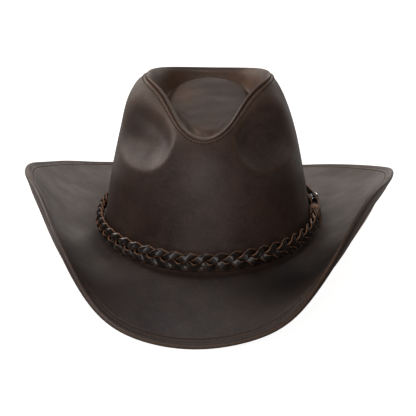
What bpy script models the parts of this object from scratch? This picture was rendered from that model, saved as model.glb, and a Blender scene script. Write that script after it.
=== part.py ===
"""Western hat in oiled leather with a pinched front crown and a braided band.

The hat stands upright: +Z is up, the front of the brim points to -Y and the
wearer's left is +X.  The origin is the centre of the head opening, on the
level of the fold between crown and brim.

The leather pieces are sheets.  Each one is laid out from the outer skin of
the hat: a piece is the stretch of skin it covers and the two depths, below
that skin, of its two faces.  Sizes are in millimetres and degrees, and
become metres when a mesh is made.
"""

import math

import bpy
import numpy as np

MM = 0.001

# ---------------------------------------------------------------- the skin

# A row of values describes one half of the hat: evenly spaced stations from
# the centre front, over the wearer's left, to the centre back.
COLUMNS = 48                       # facets round the hat

HEAD_HALF_WIDTH = 87.5             # outer skin at the fold
HEAD_HALF_LENGTH = 107.0
HEAD_SQUARENESS = 2.02             # exponent of the oval, 2 is an ellipse

BRIM_RIM_X = (0, 43, 72.5, 93.5, 110, 127, 143.5, 152.5, 150.5, 132.5, 99.5, 53.5, 0)
BRIM_RIM_Y = (-185, -184, -175, -152, -116, -73, -29.5, 18, 69, 117, 156, 180.5, 189.5)
BRIM_RIM_Z = (-26.7, -19.6, -3.3, 20.5, 39, 51, 51, 42.5, 28, 12.5, -1.5, -11.5, -14.5)
BRIM_START_SLOPE = (-18, -8, -1, 1, -1, -2, -4)
BRIM_END_SLOPE = (-30, -26, -9, 41, 103.5, 110, 70, 50.5, 42, 31, 16, 3.5, -1)
BRIM_HANDLE = 0.30                 # curve handle as a share of the chord
BRIM_UNEVEN_ANGLE = -60.0          # the brim is shaped by hand: on the wearer's
BRIM_UNEVEN_SPREAD = 34.0          # left its front is a little higher and nearer
BRIM_UNEVEN_LIFT = 2.6
BRIM_UNEVEN_DRAW = 0.009           # share of the rim's distance from the middle
BRIM_LENGTH = 84.5                 # along the leather, fold to rim

SEAM_X = (0, 20, 35.5, 50.5, 48.5, 33, 0)
SEAM_Y = (-78, -63, -31, -3, 38, 66, 77)
SEAM_Z = (97, 104, 119, 126, 121.2, 115.2, 112.2)
WALL_STRAIGHT = (.49, .49, .35, .6, .55, .4, .5)
WALL_SHOULDER = 5.5                # how late the wall turns in to the seam
CROWN_LENGTH = 122.0               # along the wall, fold to seam

DENT_ANGLE = 45.0                  # either side of the centre front
DENT_SPREAD = 21.8                 # degrees
DENT_HEIGHT = 92.0
DENT_HALF_HEIGHT = 26.0
DENT_DEPTH = 9.0
DENT_FADE = 0.12                   # share of the wall, below the seam
SHOULDER_ANGLE = 175.0             # the shoulder is fuller on the wearer's right
SHOULDER_SPREAD = 32.0             # degrees
SHOULDER_HEIGHT = 112.0
SHOULDER_HALF_HEIGHT = 20.0
SHOULDER_PUSH = 3.4
SHOULDER_FADE = 0.05               # share of the wall, below the seam

TIP_LIP = 2.0                      # rise of the rolled edge inside the seam
TIP_LIP_FRONT = 1.0
TIP_LIP_REACH = 4.5
TIP_WALL_START = 2.5
CREASE_PLACE = 13.5                # round the plateau, this far inside the seam
CREASE_HALF_WIDTH = 4.2
CREASE_DEPTH = 4.0
PLATEAU_HEIGHT = 101.7             # raised floor of the dish, over the head's middle
PLATEAU_SLOPE = 0.092              # it falls towards the front
PLATEAU_CROWN = 3.0                # rise of its middle over its sides
PLATEAU_HALF_WIDTH = 30.0

# ------------------------------------------------------- depths of the layers

GAP = 0.3
CROWN_THICK = 1.6
BRIM_THICK = 1.1
FLANGE_TOP = CROWN_THICK + GAP
FLANGE_INNER = FLANGE_TOP + BRIM_THICK
FLANGE_HEIGHT = 8.0
STIFFENER_TOP = BRIM_THICK + GAP
STIFFENER_THICK = 0.6
UNDERSIDE_TOP = STIFFENER_TOP + STIFFENER_THICK + GAP
UNDERSIDE_THICK = 0.8
HEM_TOP = UNDERSIDE_TOP + UNDERSIDE_THICK + 2 * GAP
BEAD_RADIUS = (HEM_TOP + BRIM_THICK) / 2
WIRE_RADIUS = 0.85
LINING_TOP = CROWN_THICK + GAP
LINING_THICK = 0.4
TAPE_TOP = LINING_TOP + LINING_THICK + 2.5 * GAP
TAPE_THICK = 0.8
TAPE_HALF_WIDTH = 9.0
TIP_THICK = 1.1
TIP_LINING_DEPTH = 4.0
SWEATBAND_DEPTH = 4.9
SWEATBAND_THICK = 1.1
SWEATBAND_LOW = -1.0
SWEATBAND_HIGH = 34.0
REED_RADIUS = 0.65
REED_DEPTH = FLANGE_INNER + GAP + REED_RADIUS
REED_HEIGHT = 1.5
THREAD_RADIUS = 0.3
SEAM_STITCH_DROP = 3.5
BACK_SEAM_GAP = 0.4                # between the wall's two ends, at the back
BACK_STITCH_OFFSET = 3.0
BACK_STITCH_LOW = 4.0              # height of the first back stitch
BACK_STITCH_HIGH = 0.965           # share of the wall at the last one

# Shares of the wall, the top and the brim where every layer has a row of points.
WALL_ROWS = (.10, .22, .36, .50, .62, .74, .84, .90, .945)
TIP_ROWS = (.05, .13, .22, .32, .46, .68, .88)
TIP_LINING_ROWS = (.22, .32, .46, .68, .88)
BRIM_ROWS = (0, .04, .18, .34, .50, .62, .72, .80, .86, .916)
BRIM_STITCH_SHARE = BRIM_ROWS[-1]  # the hem is stitched along the last row

# ------------------------------------------------------------------ the band

BAND_HEIGHT = 8.8                  # middle of the band above the fold
STRAND_WIDTH = 5.0
STRAND_THICK = 1.1
BRAID_SWING = 4.7                  # strand centre, up and down
BRAID_SWELL = 1.7                  # strand centre, in and out
BRAID_TILT = 30.0                  # lean of a strand where it passes the next
BRAID_STANDOFF = 4.2               # braid middle from the crown
BRAID_PERIODS = 15
BRAID_STEPS = 12                   # points per period
BRAID_START = 43.0                 # degrees round from the wearer's left
BRAID_END = 357.0
CLOSURE_ANGLE = 17.0
TAB_WIDTH = 11.0
TAB_THICK = 1.8
INNER_TAB_OFFSET = 2.0             # its face nearest the crown
OUTER_TAB_OFFSET = 7.2
TAB_END_SHARE = 0.35               # flat left at a tab's rounded end
TAB_STEP = 2.4                     # degrees per facet of a tab
INNER_TAB_END = 9.0
OUTER_TAB_END = 30.0
OUTER_TAB_ROOT = 3.4
KEEPER_LENGTH = 4.6                # degrees
KEEPER_WALL = 0.7
KEEPER_HALF_HEIGHT = 8.2
KEEPER_INNER = 0.3
KEEPER_OUTER = 8.3
KEEPER_SQUARENESS = 0.5
KEEPER_CORNERS = 12
KEEPER_PLACE = 0.4                 # degrees beyond the braid's end
INNER_TAB_ROOT = 0.8               # degrees inside the braid's end

SNAP_CLEAR = GAP + 0.1              # between the metal parts and the tabs
SNAP_CAP_RADIUS = 4.8
SNAP_CAP_EDGE = 0.5                # height of its straight edge
SNAP_CAP_RISE = 2.4
SNAP_HOLE_RADIUS = 1.7
SNAP_STEM_RADIUS = 1.2
SNAP_STEM_END = 0.3                # of the cap's stem, below the socket's top
SNAP_POST_RADIUS = 3.4
SNAP_POST_THICK = 0.6
SNAP_STUD_RADIUS = 3.6
SNAP_STUD_THICK = 0.5
SNAP_NUB_RADIUS = 1.9
SNAP_NUB_SWELL = 0.25
SNAP_NUB_LOW = 0.8                 # heights on the stud
SNAP_NUB_MIDDLE = 1.5
SNAP_NUB_HIGH = 2.1
SNAP_SOCKET_RADIUS = 4.0
SNAP_SOCKET_THICK = 1.4
SNAP_SOCKET_BEVEL = 0.5
SNAP_SIDES = 16

BOW_HALF_WIDTH = 9.0
BOW_HALF_HEIGHT = 4.0
BOW_KNOT_HALF_HEIGHT = 1.4
BOW_THICK = 1.0
BOW_HEIGHT = 14.0                  # of its middle above the fold
BOW_LOOP_TURN = 0.62 * math.pi     # how far a loop narrows again at its end

# ----------------------------------------------------------------- materials

MATERIALS = {
    # name: (colour, roughness, metallic)
    "oiled_leather": ((0.046, 0.031, 0.025), 0.45, 0.0),
    "suede": ((0.17, 0.095, 0.06), 0.95, 0.0),
    "braid_leather": ((0.022, 0.014, 0.011), 0.38, 0.0),
    "sweatband_leather": ((0.19, 0.10, 0.055), 0.55, 0.0),
    "lining_cloth": ((0.05, 0.038, 0.032), 0.7, 0.0),
    "stiffener_board": ((0.25, 0.22, 0.18), 0.85, 0.0),
    "thread": ((0.06, 0.04, 0.03), 0.65, 0.0),
    "steel_wire": ((0.5, 0.5, 0.5), 0.35, 1.0),
    "chrome": ((0.8, 0.8, 0.82), 0.08, 1.0),
    "reed_plastic": ((0.55, 0.5, 0.42), 0.5, 0.0),
}


def clear_scene():
    for item in list(bpy.data.objects):
        bpy.data.objects.remove(item, do_unlink=True)


def material(name):
    found = bpy.data.materials.get(name)
    if found:
        return found
    colour, roughness, metallic = MATERIALS[name]
    made = bpy.data.materials.new(name)
    made.use_nodes = True
    made.diffuse_color = (*colour, 1.0)
    shader = made.node_tree.nodes["Principled BSDF"]
    shader.inputs["Base Color"].default_value = (*colour, 1.0)
    shader.inputs["Roughness"].default_value = roughness
    shader.inputs["Metallic"].default_value = metallic
    return made


# ------------------------------------------------------------ curves and skin

def periodic_spline(values, turn):
    """Cubic spline through equally spaced values of a closed curve."""
    values = np.asarray(values, float)
    count = len(values)
    matrix = np.zeros((count, count))
    right = np.zeros(count)
    for i in range(count):
        matrix[i, i] = 4
        matrix[i, (i - 1) % count] = 1
        matrix[i, (i + 1) % count] = 1
        right[i] = 6 * (values[(i + 1) % count] - 2 * values[i] + values[(i - 1) % count])
    bend = np.linalg.solve(matrix, right)
    place = np.mod(turn, count)
    i = np.floor(place).astype(int) % count
    j = (i + 1) % count
    f = place - np.floor(place)
    curve = ((1 - f) ** 3 - (1 - f)) * bend[i] / 6 + (f ** 3 - f) * bend[j] / 6
    return values[i] * (1 - f) + values[j] * f + curve


def round_hat(half, theta, odd=False):
    """Value at angle theta from the stations of the wearer's left half."""
    sign = -1 if odd else 1
    full = list(half) + [sign * value for value in half[-2:0:-1]]
    turn = (theta + math.pi / 2) / (2 * math.pi) * len(full)
    return periodic_spline(full, turn)


def smooth(t):
    t = np.clip(t, 0, 1)
    return t * t * (3 - 2 * t)


def near(theta, middle, spread):
    """1 at an angle given in degrees, falling to 0 on both sides of it."""
    away = np.degrees(np.angle(np.exp(1j * (theta - math.radians(middle)))))
    return np.exp(-(away / spread) ** 2)


def signed_power(value, power):
    return np.sign(value) * np.abs(value) ** power


def fold_line(theta):
    """Plan of the fold between crown and brim."""
    power = 2 / HEAD_SQUARENESS
    x = HEAD_HALF_WIDTH * signed_power(np.cos(theta), power)
    y = HEAD_HALF_LENGTH * signed_power(np.sin(theta), power)
    return x, y


def brim_skin(theta, share):
    """Top of the brim: share 0 at the fold, 1 at the rim."""
    x0, y0 = fold_line(theta)
    uneven = near(theta, BRIM_UNEVEN_ANGLE, BRIM_UNEVEN_SPREAD)
    x1 = round_hat(BRIM_RIM_X, theta, odd=True) * (1 - BRIM_UNEVEN_DRAW * uneven)
    y1 = round_hat(BRIM_RIM_Y, theta) * (1 - BRIM_UNEVEN_DRAW * uneven)
    z1 = round_hat(BRIM_RIM_Z, theta) + BRIM_UNEVEN_LIFT * uneven
    start = np.radians(round_hat(BRIM_START_SLOPE, theta))
    end = np.radians(round_hat(BRIM_END_SLOPE, theta))
    reach = np.hypot(x1 - x0, y1 - y0)
    handle = BRIM_HANDLE * np.hypot(reach, z1)
    out_a = handle * np.cos(start)
    up_a = handle * np.sin(start)
    out_b = reach - handle * np.cos(end)
    up_b = z1 - handle * np.sin(end)
    weight_a = 3 * (1 - share) ** 2 * share
    weight_b = 3 * (1 - share) * share ** 2
    weight_c = share ** 3
    out = weight_a * out_a + weight_b * out_b + weight_c * reach
    up = weight_a * up_a + weight_b * up_b + weight_c * z1
    x = x0 + (x1 - x0) / reach * out
    y = y0 + (y1 - y0) / reach * out
    return np.stack([x, y, up], -1)


def seam_line(theta):
    """Seam between the crown wall and the top panel."""
    x = round_hat(SEAM_X, theta, odd=True)
    y = round_hat(SEAM_Y, theta)
    z = round_hat(SEAM_Z, theta)
    return x, y, z


def crown_skin(theta, share):
    """Outside of the crown wall: share 0 at the fold, 1 at the seam."""
    x0, y0 = fold_line(theta)
    x1, y1, z1 = seam_line(theta)
    z = z1 * share
    straight = round_hat(WALL_STRAIGHT, theta)
    inward = straight * share + (1 - straight) * np.clip(share, 0, None) ** WALL_SHOULDER
    x = x0 + (x1 - x0) * inward
    y = y0 + (y1 - y0) * inward
    for side in (1, -1):
        middle = -90 + side * DENT_ANGLE
        upward = np.exp(-((z - DENT_HEIGHT) / DENT_HALF_HEIGHT) ** 2)
        push = DENT_DEPTH * near(theta, middle, DENT_SPREAD) * upward
        push = push * smooth((1 - share) / DENT_FADE)
        x = x - math.cos(math.radians(middle)) * push
        y = y - math.sin(math.radians(middle)) * push
    upward = np.exp(-((z - SHOULDER_HEIGHT) / SHOULDER_HALF_HEIGHT) ** 2)
    push = SHOULDER_PUSH * near(theta, SHOULDER_ANGLE, SHOULDER_SPREAD) * upward
    push = push * smooth((1 - share) / SHOULDER_FADE)
    x = x + math.cos(math.radians(SHOULDER_ANGLE)) * push
    y = y + math.sin(math.radians(SHOULDER_ANGLE)) * push
    return np.stack([x, y, z], -1)


def seam_slant(theta):
    """Share of a step towards the middle that leads straight away from the seam."""
    step = 1e-3
    x1, y1, _ = seam_line(theta)
    x2, y2, _ = seam_line(theta + step)
    along = np.hypot(x2 - x1, y2 - y1)
    cross = np.abs(x1 * (y2 - y1) - y1 * (x2 - x1))
    return cross / (along * np.hypot(x1, y1))


def tip_skin(theta, share):
    """Outside of the top panel: share 0 at the seam, 1 at its middle.

    From the seam the leather rises over a rolled edge, falls to a crease and
    swells again into the plateau in the middle of the dish.
    """
    x1, y1, z1 = seam_line(theta)
    x = x1 * (1 - share)
    y = y1 * (1 - share)
    inward = np.hypot(x1, y1) * share * seam_slant(theta)
    front = np.clip(-np.sin(theta), 0, 1) ** 2
    lip = TIP_LIP * (1 - front) + TIP_LIP_FRONT * front
    rise = np.clip(inward / TIP_LIP_REACH, 0, 4)
    rim = z1 + lip * rise * np.exp(1 - rise)
    swell = PLATEAU_CROWN * (1 - (x / PLATEAU_HALF_WIDTH) ** 2)
    crease = CREASE_DEPTH * np.exp(-((inward - CREASE_PLACE) / CREASE_HALF_WIDTH) ** 2)
    floor = PLATEAU_HEIGHT + PLATEAU_SLOPE * y + swell - crease
    sink = smooth((inward - TIP_WALL_START) / (CREASE_PLACE - TIP_WALL_START))
    return np.stack([x, y, rim * (1 - sink) + floor * sink], -1)


def skin_normal(skin, theta, share):
    """Unit normal of a skin, towards the outside of the hat."""
    step = 1e-3
    round_way = skin(theta + step, share) - skin(theta - step, share)
    along_way = skin(theta, share + step) - skin(theta, share - step)
    normal = np.cross(round_way, along_way)
    if skin is brim_skin:
        normal = -normal
    return normal / np.linalg.norm(normal, axis=-1, keepdims=True)


def under(skin, theta, share, depth):
    """Points at a depth below a skin."""
    depth = np.asarray(depth, float)[..., np.newaxis]
    return skin(theta, share) - depth * skin_normal(skin, theta, share)


def all_round(count=COLUMNS):
    """Angles of the columns, starting at the centre back."""
    return math.pi / 2 + np.arange(count) * 2 * math.pi / count


def wall_share(theta, height):
    """Share of the wall that lies at a height."""
    return height / seam_line(theta)[2]


# ------------------------------------------------------------------- meshes

def make(name, points, triangles, slot, origin=(0, 0, 0)):
    """Mesh object from points in millimetres, faces turned outward."""
    points = np.asarray(points, float)
    triangles = np.asarray(triangles, int)
    corners = points[triangles]
    volume = np.einsum("ij,ij->i", corners[:, 0], np.cross(corners[:, 1], corners[:, 2])).sum()
    if volume < 0:
        triangles = triangles[:, ::-1]
    shift = np.asarray(origin, float)
    mesh = bpy.data.meshes.new(name)
    mesh.from_pydata(((points - shift) * MM).tolist(), [], triangles.tolist())
    mesh.materials.append(material(slot))
    mesh.shade_smooth()
    mesh.set_sharp_from_angle(angle=math.radians(40))
    made = bpy.data.objects.new(name, mesh)
    made.location = shift * MM
    bpy.context.scene.collection.objects.link(made)
    return made


def quad(a, b, c, d, mirrored):
    """Two triangles of a quad, cut along the same way on parallel sheets."""
    if mirrored:
        return [(a, b, d), (b, c, d)]
    return [(a, b, c), (a, c, d)]


def loft(name, loops, slot, ends="join", mirrored=(), origin=(0, 0, 0)):
    """Solid through closed loops of points.

    ends is "join" where the last loop meets the first, "ladder" to close a
    sheet's two ends with rungs between its faces, or "fan" to close each end
    from the middle of its loop.  mirrored holds the points of a loop after
    which the quads are cut the mirrored way.
    """
    loops = np.asarray(loops, float)
    rows, width = loops.shape[:2]
    points = list(loops.reshape(-1, 3))
    triangles = []
    last = rows if ends == "join" else rows - 1
    for r in range(last):
        low = r * width
        high = ((r + 1) % rows) * width
        for j in range(width):
            k = (j + 1) % width
            triangles += quad(low + j, high + j, high + k, low + k, j in mirrored)
    if ends == "ladder":
        half = width // 2
        for r, turned in ((0, False), (rows - 1, True)):
            for j in range(half - 1):
                a, b = r * width + j, r * width + j + 1
                c, d = r * width + width - 2 - j, r * width + width - 1 - j
                cap = [(a, b, c), (a, c, d)]
                triangles += [t[::-1] for t in cap] if turned else cap
    if ends == "fan":
        for r, turned in ((0, False), (rows - 1, True)):
            points.append(loops[r].mean(0))
            middle = len(points) - 1
            for j in range(width):
                t = (middle, r * width + j, r * width + (j + 1) % width)
                triangles.append(t[::-1] if turned else t)
    return make(name, points, triangles, slot, origin)


def sheet(name, outer, inner, slot, ends="join", turn=None):
    """Leather or cloth between two faces, as a ring or as an open strip.

    outer and inner are lists of rows in the same order; a row holds one
    point per column.  turn is the row where a hem starts to run back.
    """
    count = len(outer)
    turn = count - 1 if turn is None else turn
    mirrored = set(range(turn, count - 1)) | set(range(2 * count - 1 - turn, 2 * count))
    profile = np.stack(list(outer) + list(inner)[::-1], axis=1)
    return loft(name, profile, slot, ends, mirrored)


def ring_of_thread(name, centre, sideways, upward, radius, slot, sides):
    """Round bead or thread along a closed line of centre points."""
    turns = np.arange(sides) * 2 * math.pi / sides + math.pi / 4
    loops = []
    for c, s, u in zip(centre, sideways, upward):
        loops.append([c + radius * (math.cos(t) * s + math.sin(t) * u) for t in turns])
    return loft(name, loops, slot, "join")


def dome(radius, rise, height, steps):
    """Points (radius, height) of a rounded top, from its edge to its middle."""
    turns = np.linspace(0, math.pi / 2, steps + 1)[:-1]
    return [(radius * math.cos(t), height + rise * math.sin(t)) for t in turns]


def turned(name, profile, frame, slot, ends="fan", sides=SNAP_SIDES, origin=(0, 0, 0)):
    """Solid of revolution about frame's third axis; profile is (radius, height)."""
    centre, across, along, axis = frame
    turns = np.arange(sides) * 2 * math.pi / sides
    loops = []
    for radius, height in profile:
        rim = [radius * (math.cos(t) * across + math.sin(t) * along) for t in turns]
        loops.append([centre + height * axis + point for point in rim])
    return loft(name, loops, slot, ends, origin=origin)


# -------------------------------------------------------------- crown pieces

def crown_side_panel():
    """The wall: one strip of leather whose ends meet at the centre back."""
    back = math.pi / 2
    half_gap = BACK_SEAM_GAP / 2 / HEAD_HALF_WIDTH
    theta = all_round()
    theta = np.append(theta, theta[0] + 2 * math.pi)
    theta[0] = back + half_gap
    theta[-1] = back + 2 * math.pi - half_gap
    low = wall_share(theta, 0.5)
    high = 1 - 1.5 / CROWN_LENGTH
    shares = [low] + list(WALL_ROWS) + [high]
    outer = [under(crown_skin, theta, share, 0) for share in shares]
    inner = [under(crown_skin, theta, share, CROWN_THICK) for share in shares]
    sheet("crown_side_panel", outer, inner, "oiled_leather", "ladder")


def crown_top_panel():
    """The dished top, with a flange turned down inside the wall."""
    theta = all_round()
    edge = 1 - TIP_THICK / CROWN_LENGTH
    outer = [under(crown_skin, theta, WALL_ROWS[-1], FLANGE_TOP),
             under(crown_skin, theta, edge, FLANGE_TOP),
             under(crown_skin, theta, edge, 0),
             under(crown_skin, theta, 1.0, 0)]
    outer += [under(tip_skin, theta, share, 0) for share in TIP_ROWS]
    inner = [under(crown_skin, theta, WALL_ROWS[-1], FLANGE_TOP + TIP_THICK),
             under(crown_skin, theta, edge, FLANGE_TOP + TIP_THICK)]
    inner += [under(tip_skin, theta, share, TIP_THICK) for share in TIP_ROWS[1:]]
    loft("crown_top_panel", inner[::-1] + outer, "oiled_leather", "fan")


def crown_linings():
    """Cloth bag inside the crown: a side wall and a top."""
    theta = all_round()
    deep = LINING_TOP + LINING_THICK
    rows = WALL_ROWS[:-1]
    outer = [under(crown_skin, theta, share, LINING_TOP) for share in rows]
    inner = [under(crown_skin, theta, share, deep) for share in rows]
    sheet("lining_side", outer, inner, "lining_cloth")
    deep = TIP_LINING_DEPTH + LINING_THICK
    outer = [under(tip_skin, theta, share, TIP_LINING_DEPTH) for share in TIP_LINING_ROWS]
    inner = [under(tip_skin, theta, share, deep) for share in TIP_LINING_ROWS]
    loft("lining_top", inner[::-1] + outer, "lining_cloth", "fan")


def crown_threads():
    """Stitching under the top seam, and both rows of the back seam."""
    theta = all_round()
    share = 1 - SEAM_STITCH_DROP / CROWN_LENGTH
    normal = skin_normal(crown_skin, theta, share)
    centre = crown_skin(theta, share) + (GAP + THREAD_RADIUS) * normal
    along = np.roll(centre, -1, 0) - np.roll(centre, 1, 0)
    along /= np.linalg.norm(along, axis=1, keepdims=True)
    side = np.cross(along, normal)
    ring_of_thread("crown_seam_thread", centre, side, normal, THREAD_RADIUS, "thread", 4)
    rows = [wall_share(math.pi / 2, BACK_STITCH_LOW)] + list(WALL_ROWS) + [BACK_STITCH_HIGH]
    for label, way in (("left", 1), ("right", -1)):
        angle = math.pi / 2 - way * BACK_STITCH_OFFSET / HEAD_HALF_WIDTH
        loops = []
        for share in rows:
            normal = skin_normal(crown_skin, np.array([angle]), share)[0]
            centre = crown_skin(np.array([angle]), share)[0] + (GAP + THREAD_RADIUS) * normal
            along = np.array([1.0, 0.0, 0.0])
            turns = np.arange(4) * math.pi / 2 + math.pi / 4
            loops.append([centre + THREAD_RADIUS * (math.cos(t) * along + math.sin(t) * normal)
                          for t in turns])
        loft("back_seam_thread_" + label, loops, "thread", "fan")


def back_seam_tape():
    """Strip of leather that joins the wall's two ends from the inside."""
    half = TAPE_HALF_WIDTH / HEAD_HALF_WIDTH
    theta = np.linspace(math.pi / 2 - half, math.pi / 2 + half, 5)
    rows = WALL_ROWS[:-1]
    deep = TAPE_TOP + TAPE_THICK
    outer = [under(crown_skin, theta, share, TAPE_TOP) for share in rows]
    inner = [under(crown_skin, theta, share, deep) for share in rows]
    sheet("back_seam_tape", outer, inner, "sweatband_leather", "ladder")


# --------------------------------------------------------------- brim pieces

def bead_share():
    """Where the brim's top leather starts to turn round the wire."""
    return 1 - BEAD_RADIUS / BRIM_LENGTH


def bead_frame(theta):
    """Centre line of the rim bead, with its outward and upward directions."""
    share = bead_share()
    normal = skin_normal(brim_skin, theta, share)
    step = 1e-3
    out = brim_skin(theta, share + step) - brim_skin(theta, share - step)
    out /= np.linalg.norm(out, axis=1, keepdims=True)
    centre = brim_skin(theta, share) - BEAD_RADIUS * normal
    return centre, out, normal


def brim_upper():
    """Top leather: turned up inside the crown, and round the wire as a hem."""
    theta = all_round()
    centre, out, normal = bead_frame(theta)
    flange = wall_share(theta, FLANGE_HEIGHT)
    outer = [under(crown_skin, theta, flange, FLANGE_TOP),
             under(crown_skin, theta, 0, FLANGE_TOP)]
    inner = [under(crown_skin, theta, flange, FLANGE_INNER),
             under(crown_skin, theta, 0, FLANGE_INNER) - (0, 0, BRIM_THICK)]
    for share in BRIM_ROWS + (bead_share(),):
        outer.append(under(brim_skin, theta, share, 0))
        inner.append(under(brim_skin, theta, share, BRIM_THICK))
    turn = len(outer)
    for degrees in (45, 0, -45, -90):
        angle = math.radians(degrees)
        way = math.cos(angle) * out + math.sin(angle) * normal
        outer.append(centre + BEAD_RADIUS * way)
        inner.append(centre + (BEAD_RADIUS - BRIM_THICK) * way)
    for share in BRIM_ROWS[:-3:-1]:
        outer.append(under(brim_skin, theta, share, HEM_TOP + BRIM_THICK))
        inner.append(under(brim_skin, theta, share, HEM_TOP))
    sheet("brim_upper", outer, inner, "oiled_leather", turn=turn)


def brim_stiffener():
    """Board between the two leathers of the brim."""
    theta = all_round()
    deep = STIFFENER_TOP + STIFFENER_THICK
    outer = [under(brim_skin, theta, share, STIFFENER_TOP) for share in BRIM_ROWS[1:]]
    inner = [under(brim_skin, theta, share, deep) for share in BRIM_ROWS[1:]]
    sheet("brim_stiffener", outer, inner, "stiffener_board")


def brim_underside():
    """Suede lining of the brim, tucked under the hem and under the fold."""
    theta = all_round()
    deep = UNDERSIDE_TOP + UNDERSIDE_THICK
    outer = [under(brim_skin, theta, share, UNDERSIDE_TOP) for share in BRIM_ROWS]
    inner = [under(brim_skin, theta, share, deep) for share in BRIM_ROWS]
    sheet("brim_underside", outer, inner, "suede")


def brim_wire():
    """Shaping wire inside the rim."""
    theta = all_round()
    centre, out, normal = bead_frame(theta)
    ring_of_thread("brim_wire", centre, out, normal, WIRE_RADIUS, "steel_wire", 5)


def brim_threads():
    """The needle thread on top of the brim and the bobbin thread below."""
    theta = all_round()
    share = BRIM_STITCH_SHARE
    normal = skin_normal(brim_skin, theta, share)
    clear = 2 * GAP + THREAD_RADIUS
    for name, depth in (("brim_thread_top", -clear),
                        ("brim_thread_under", HEM_TOP + BRIM_THICK + clear)):
        centre = brim_skin(theta, share) - depth * normal
        along = np.roll(centre, -1, 0) - np.roll(centre, 1, 0)
        along /= np.linalg.norm(along, axis=1, keepdims=True)
        side = np.cross(along, normal)
        ring_of_thread(name, centre, side, normal, THREAD_RADIUS, "thread", 4)


# --------------------------------------------------------------- head fittings

def sweatband():
    """Leather band against the head, with its reed and stitching."""
    theta = all_round()
    heights = (SWEATBAND_LOW, 12.0, 24.0, SWEATBAND_HIGH)
    rows = [np.zeros_like(theta)] + [wall_share(theta, height) for height in heights[1:]]
    outer = [under(crown_skin, theta, share, SWEATBAND_DEPTH) for share in rows]
    inner = [under(crown_skin, theta, share, SWEATBAND_DEPTH + SWEATBAND_THICK) for share in rows]
    outer[0][:, 2] = SWEATBAND_LOW
    inner[0][:, 2] = SWEATBAND_LOW
    sheet("sweatband", outer, inner, "sweatband_leather")


def sweatband_reed():
    """Plastic reed that keeps the sweatband's lower edge round."""
    theta = all_round()
    share = wall_share(theta, REED_HEIGHT)
    centre = under(crown_skin, theta, share, REED_DEPTH)
    normal = skin_normal(crown_skin, theta, share)
    upward = np.tile((0.0, 0.0, 1.0), (COLUMNS, 1))
    ring_of_thread("sweatband_reed", centre, normal, upward, REED_RADIUS, "reed_plastic", 4)


def sweatband_thread():
    """Stitching that holds the sweatband to the brim's turned-up edge."""
    theta = all_round()
    share = wall_share(theta, 3.0)
    depth = SWEATBAND_DEPTH + SWEATBAND_THICK + GAP + THREAD_RADIUS
    centre = under(crown_skin, theta, share, depth)
    normal = skin_normal(crown_skin, theta, share)
    upward = np.tile((0.0, 0.0, 1.0), (COLUMNS, 1))
    ring_of_thread("sweatband_thread", centre, normal, upward, THREAD_RADIUS, "thread", 4)


def sweatband_bow():
    """Small bow on the sweatband's join, at the centre back."""
    back = np.array([math.pi / 2])
    depth = SWEATBAND_DEPTH + SWEATBAND_THICK + 2 * GAP + BOW_THICK
    centre = under(crown_skin, back, wall_share(back, BOW_HEIGHT), depth)[0]
    steps = np.linspace(-1, 1, 9)
    loops = []
    for step in steps:
        half = BOW_KNOT_HALF_HEIGHT
        half += (BOW_HALF_HEIGHT - BOW_KNOT_HALF_HEIGHT) * math.sin(abs(step) * BOW_LOOP_TURN)
        x = step * BOW_HALF_WIDTH
        bend = -0.5 * x * x / HEAD_HALF_WIDTH
        near = centre + (x, bend, 0)
        loops.append([near + (0, 0, -half), near + (0, 0, half),
                      near + (0, -BOW_THICK, half), near + (0, -BOW_THICK, -half)])
    loft("sweatband_bow", loops, "lining_cloth", "fan")


# ------------------------------------------------------------------ the band

def off_crown(theta, height, distance):
    """Point of the band: height along the wall and distance off the crown."""
    theta = np.atleast_1d(np.asarray(theta, float))
    return under(crown_skin, theta, wall_share(theta, height), -distance)


def braid_angles():
    """Angles at equal steps of length along the braid."""
    fine = np.radians(np.linspace(BRAID_START, BRAID_END, 721))
    line = off_crown(fine, BAND_HEIGHT, BRAID_STANDOFF)
    length = np.append(0, np.cumsum(np.linalg.norm(np.diff(line, axis=0), axis=1)))
    wanted = np.linspace(0, length[-1], BRAID_PERIODS * BRAID_STEPS + 1)
    return np.interp(wanted, length, fine)


def braid_strand(name, lead):
    """One flat lace of the three-strand braid, lead periods ahead."""
    theta = braid_angles()
    turn = 2 * math.pi * (np.arange(len(theta)) / BRAID_STEPS + lead)
    height = BAND_HEIGHT + BRAID_SWING * np.sin(turn)
    distance = BRAID_STANDOFF + BRAID_SWELL * np.sin(2 * turn)
    lean = math.radians(BRAID_TILT) * np.cos(3 * turn)
    corners = []
    for up, out in ((-1, -1), (1, -1), (1, 1), (-1, 1)):
        wide = up * STRAND_WIDTH / 2
        thick = out * STRAND_THICK / 2
        corners.append(off_crown(theta, height + wide * np.cos(lean) - thick * np.sin(lean),
                                 distance + wide * np.sin(lean) + thick * np.cos(lean)))
    loft(name, np.stack(corners, axis=1), "braid_leather", "fan")


def tab_loops(start, end, offset):
    """Cross-sections of a tab with a rounded free end, in degrees."""
    steps = int(abs(end - start) / TAB_STEP) + 1
    angles = np.linspace(start, end, steps + 1)
    radius = TAB_WIDTH / 2
    per_degree = math.radians(1) * (HEAD_HALF_WIDTH + offset)
    loops = []
    for angle in angles:
        left = min(abs(end - angle) * per_degree, radius)
        half = max(math.sqrt(radius ** 2 - (radius - left) ** 2), TAB_END_SHARE * radius)
        theta = math.radians(angle)
        corners = []
        for up, out in ((-1, 0), (1, 0), (1, TAB_THICK), (-1, TAB_THICK)):
            corners.append(off_crown(theta, BAND_HEIGHT + up * half, offset + out)[0])
        loops.append(corners)
    return loops


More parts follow.
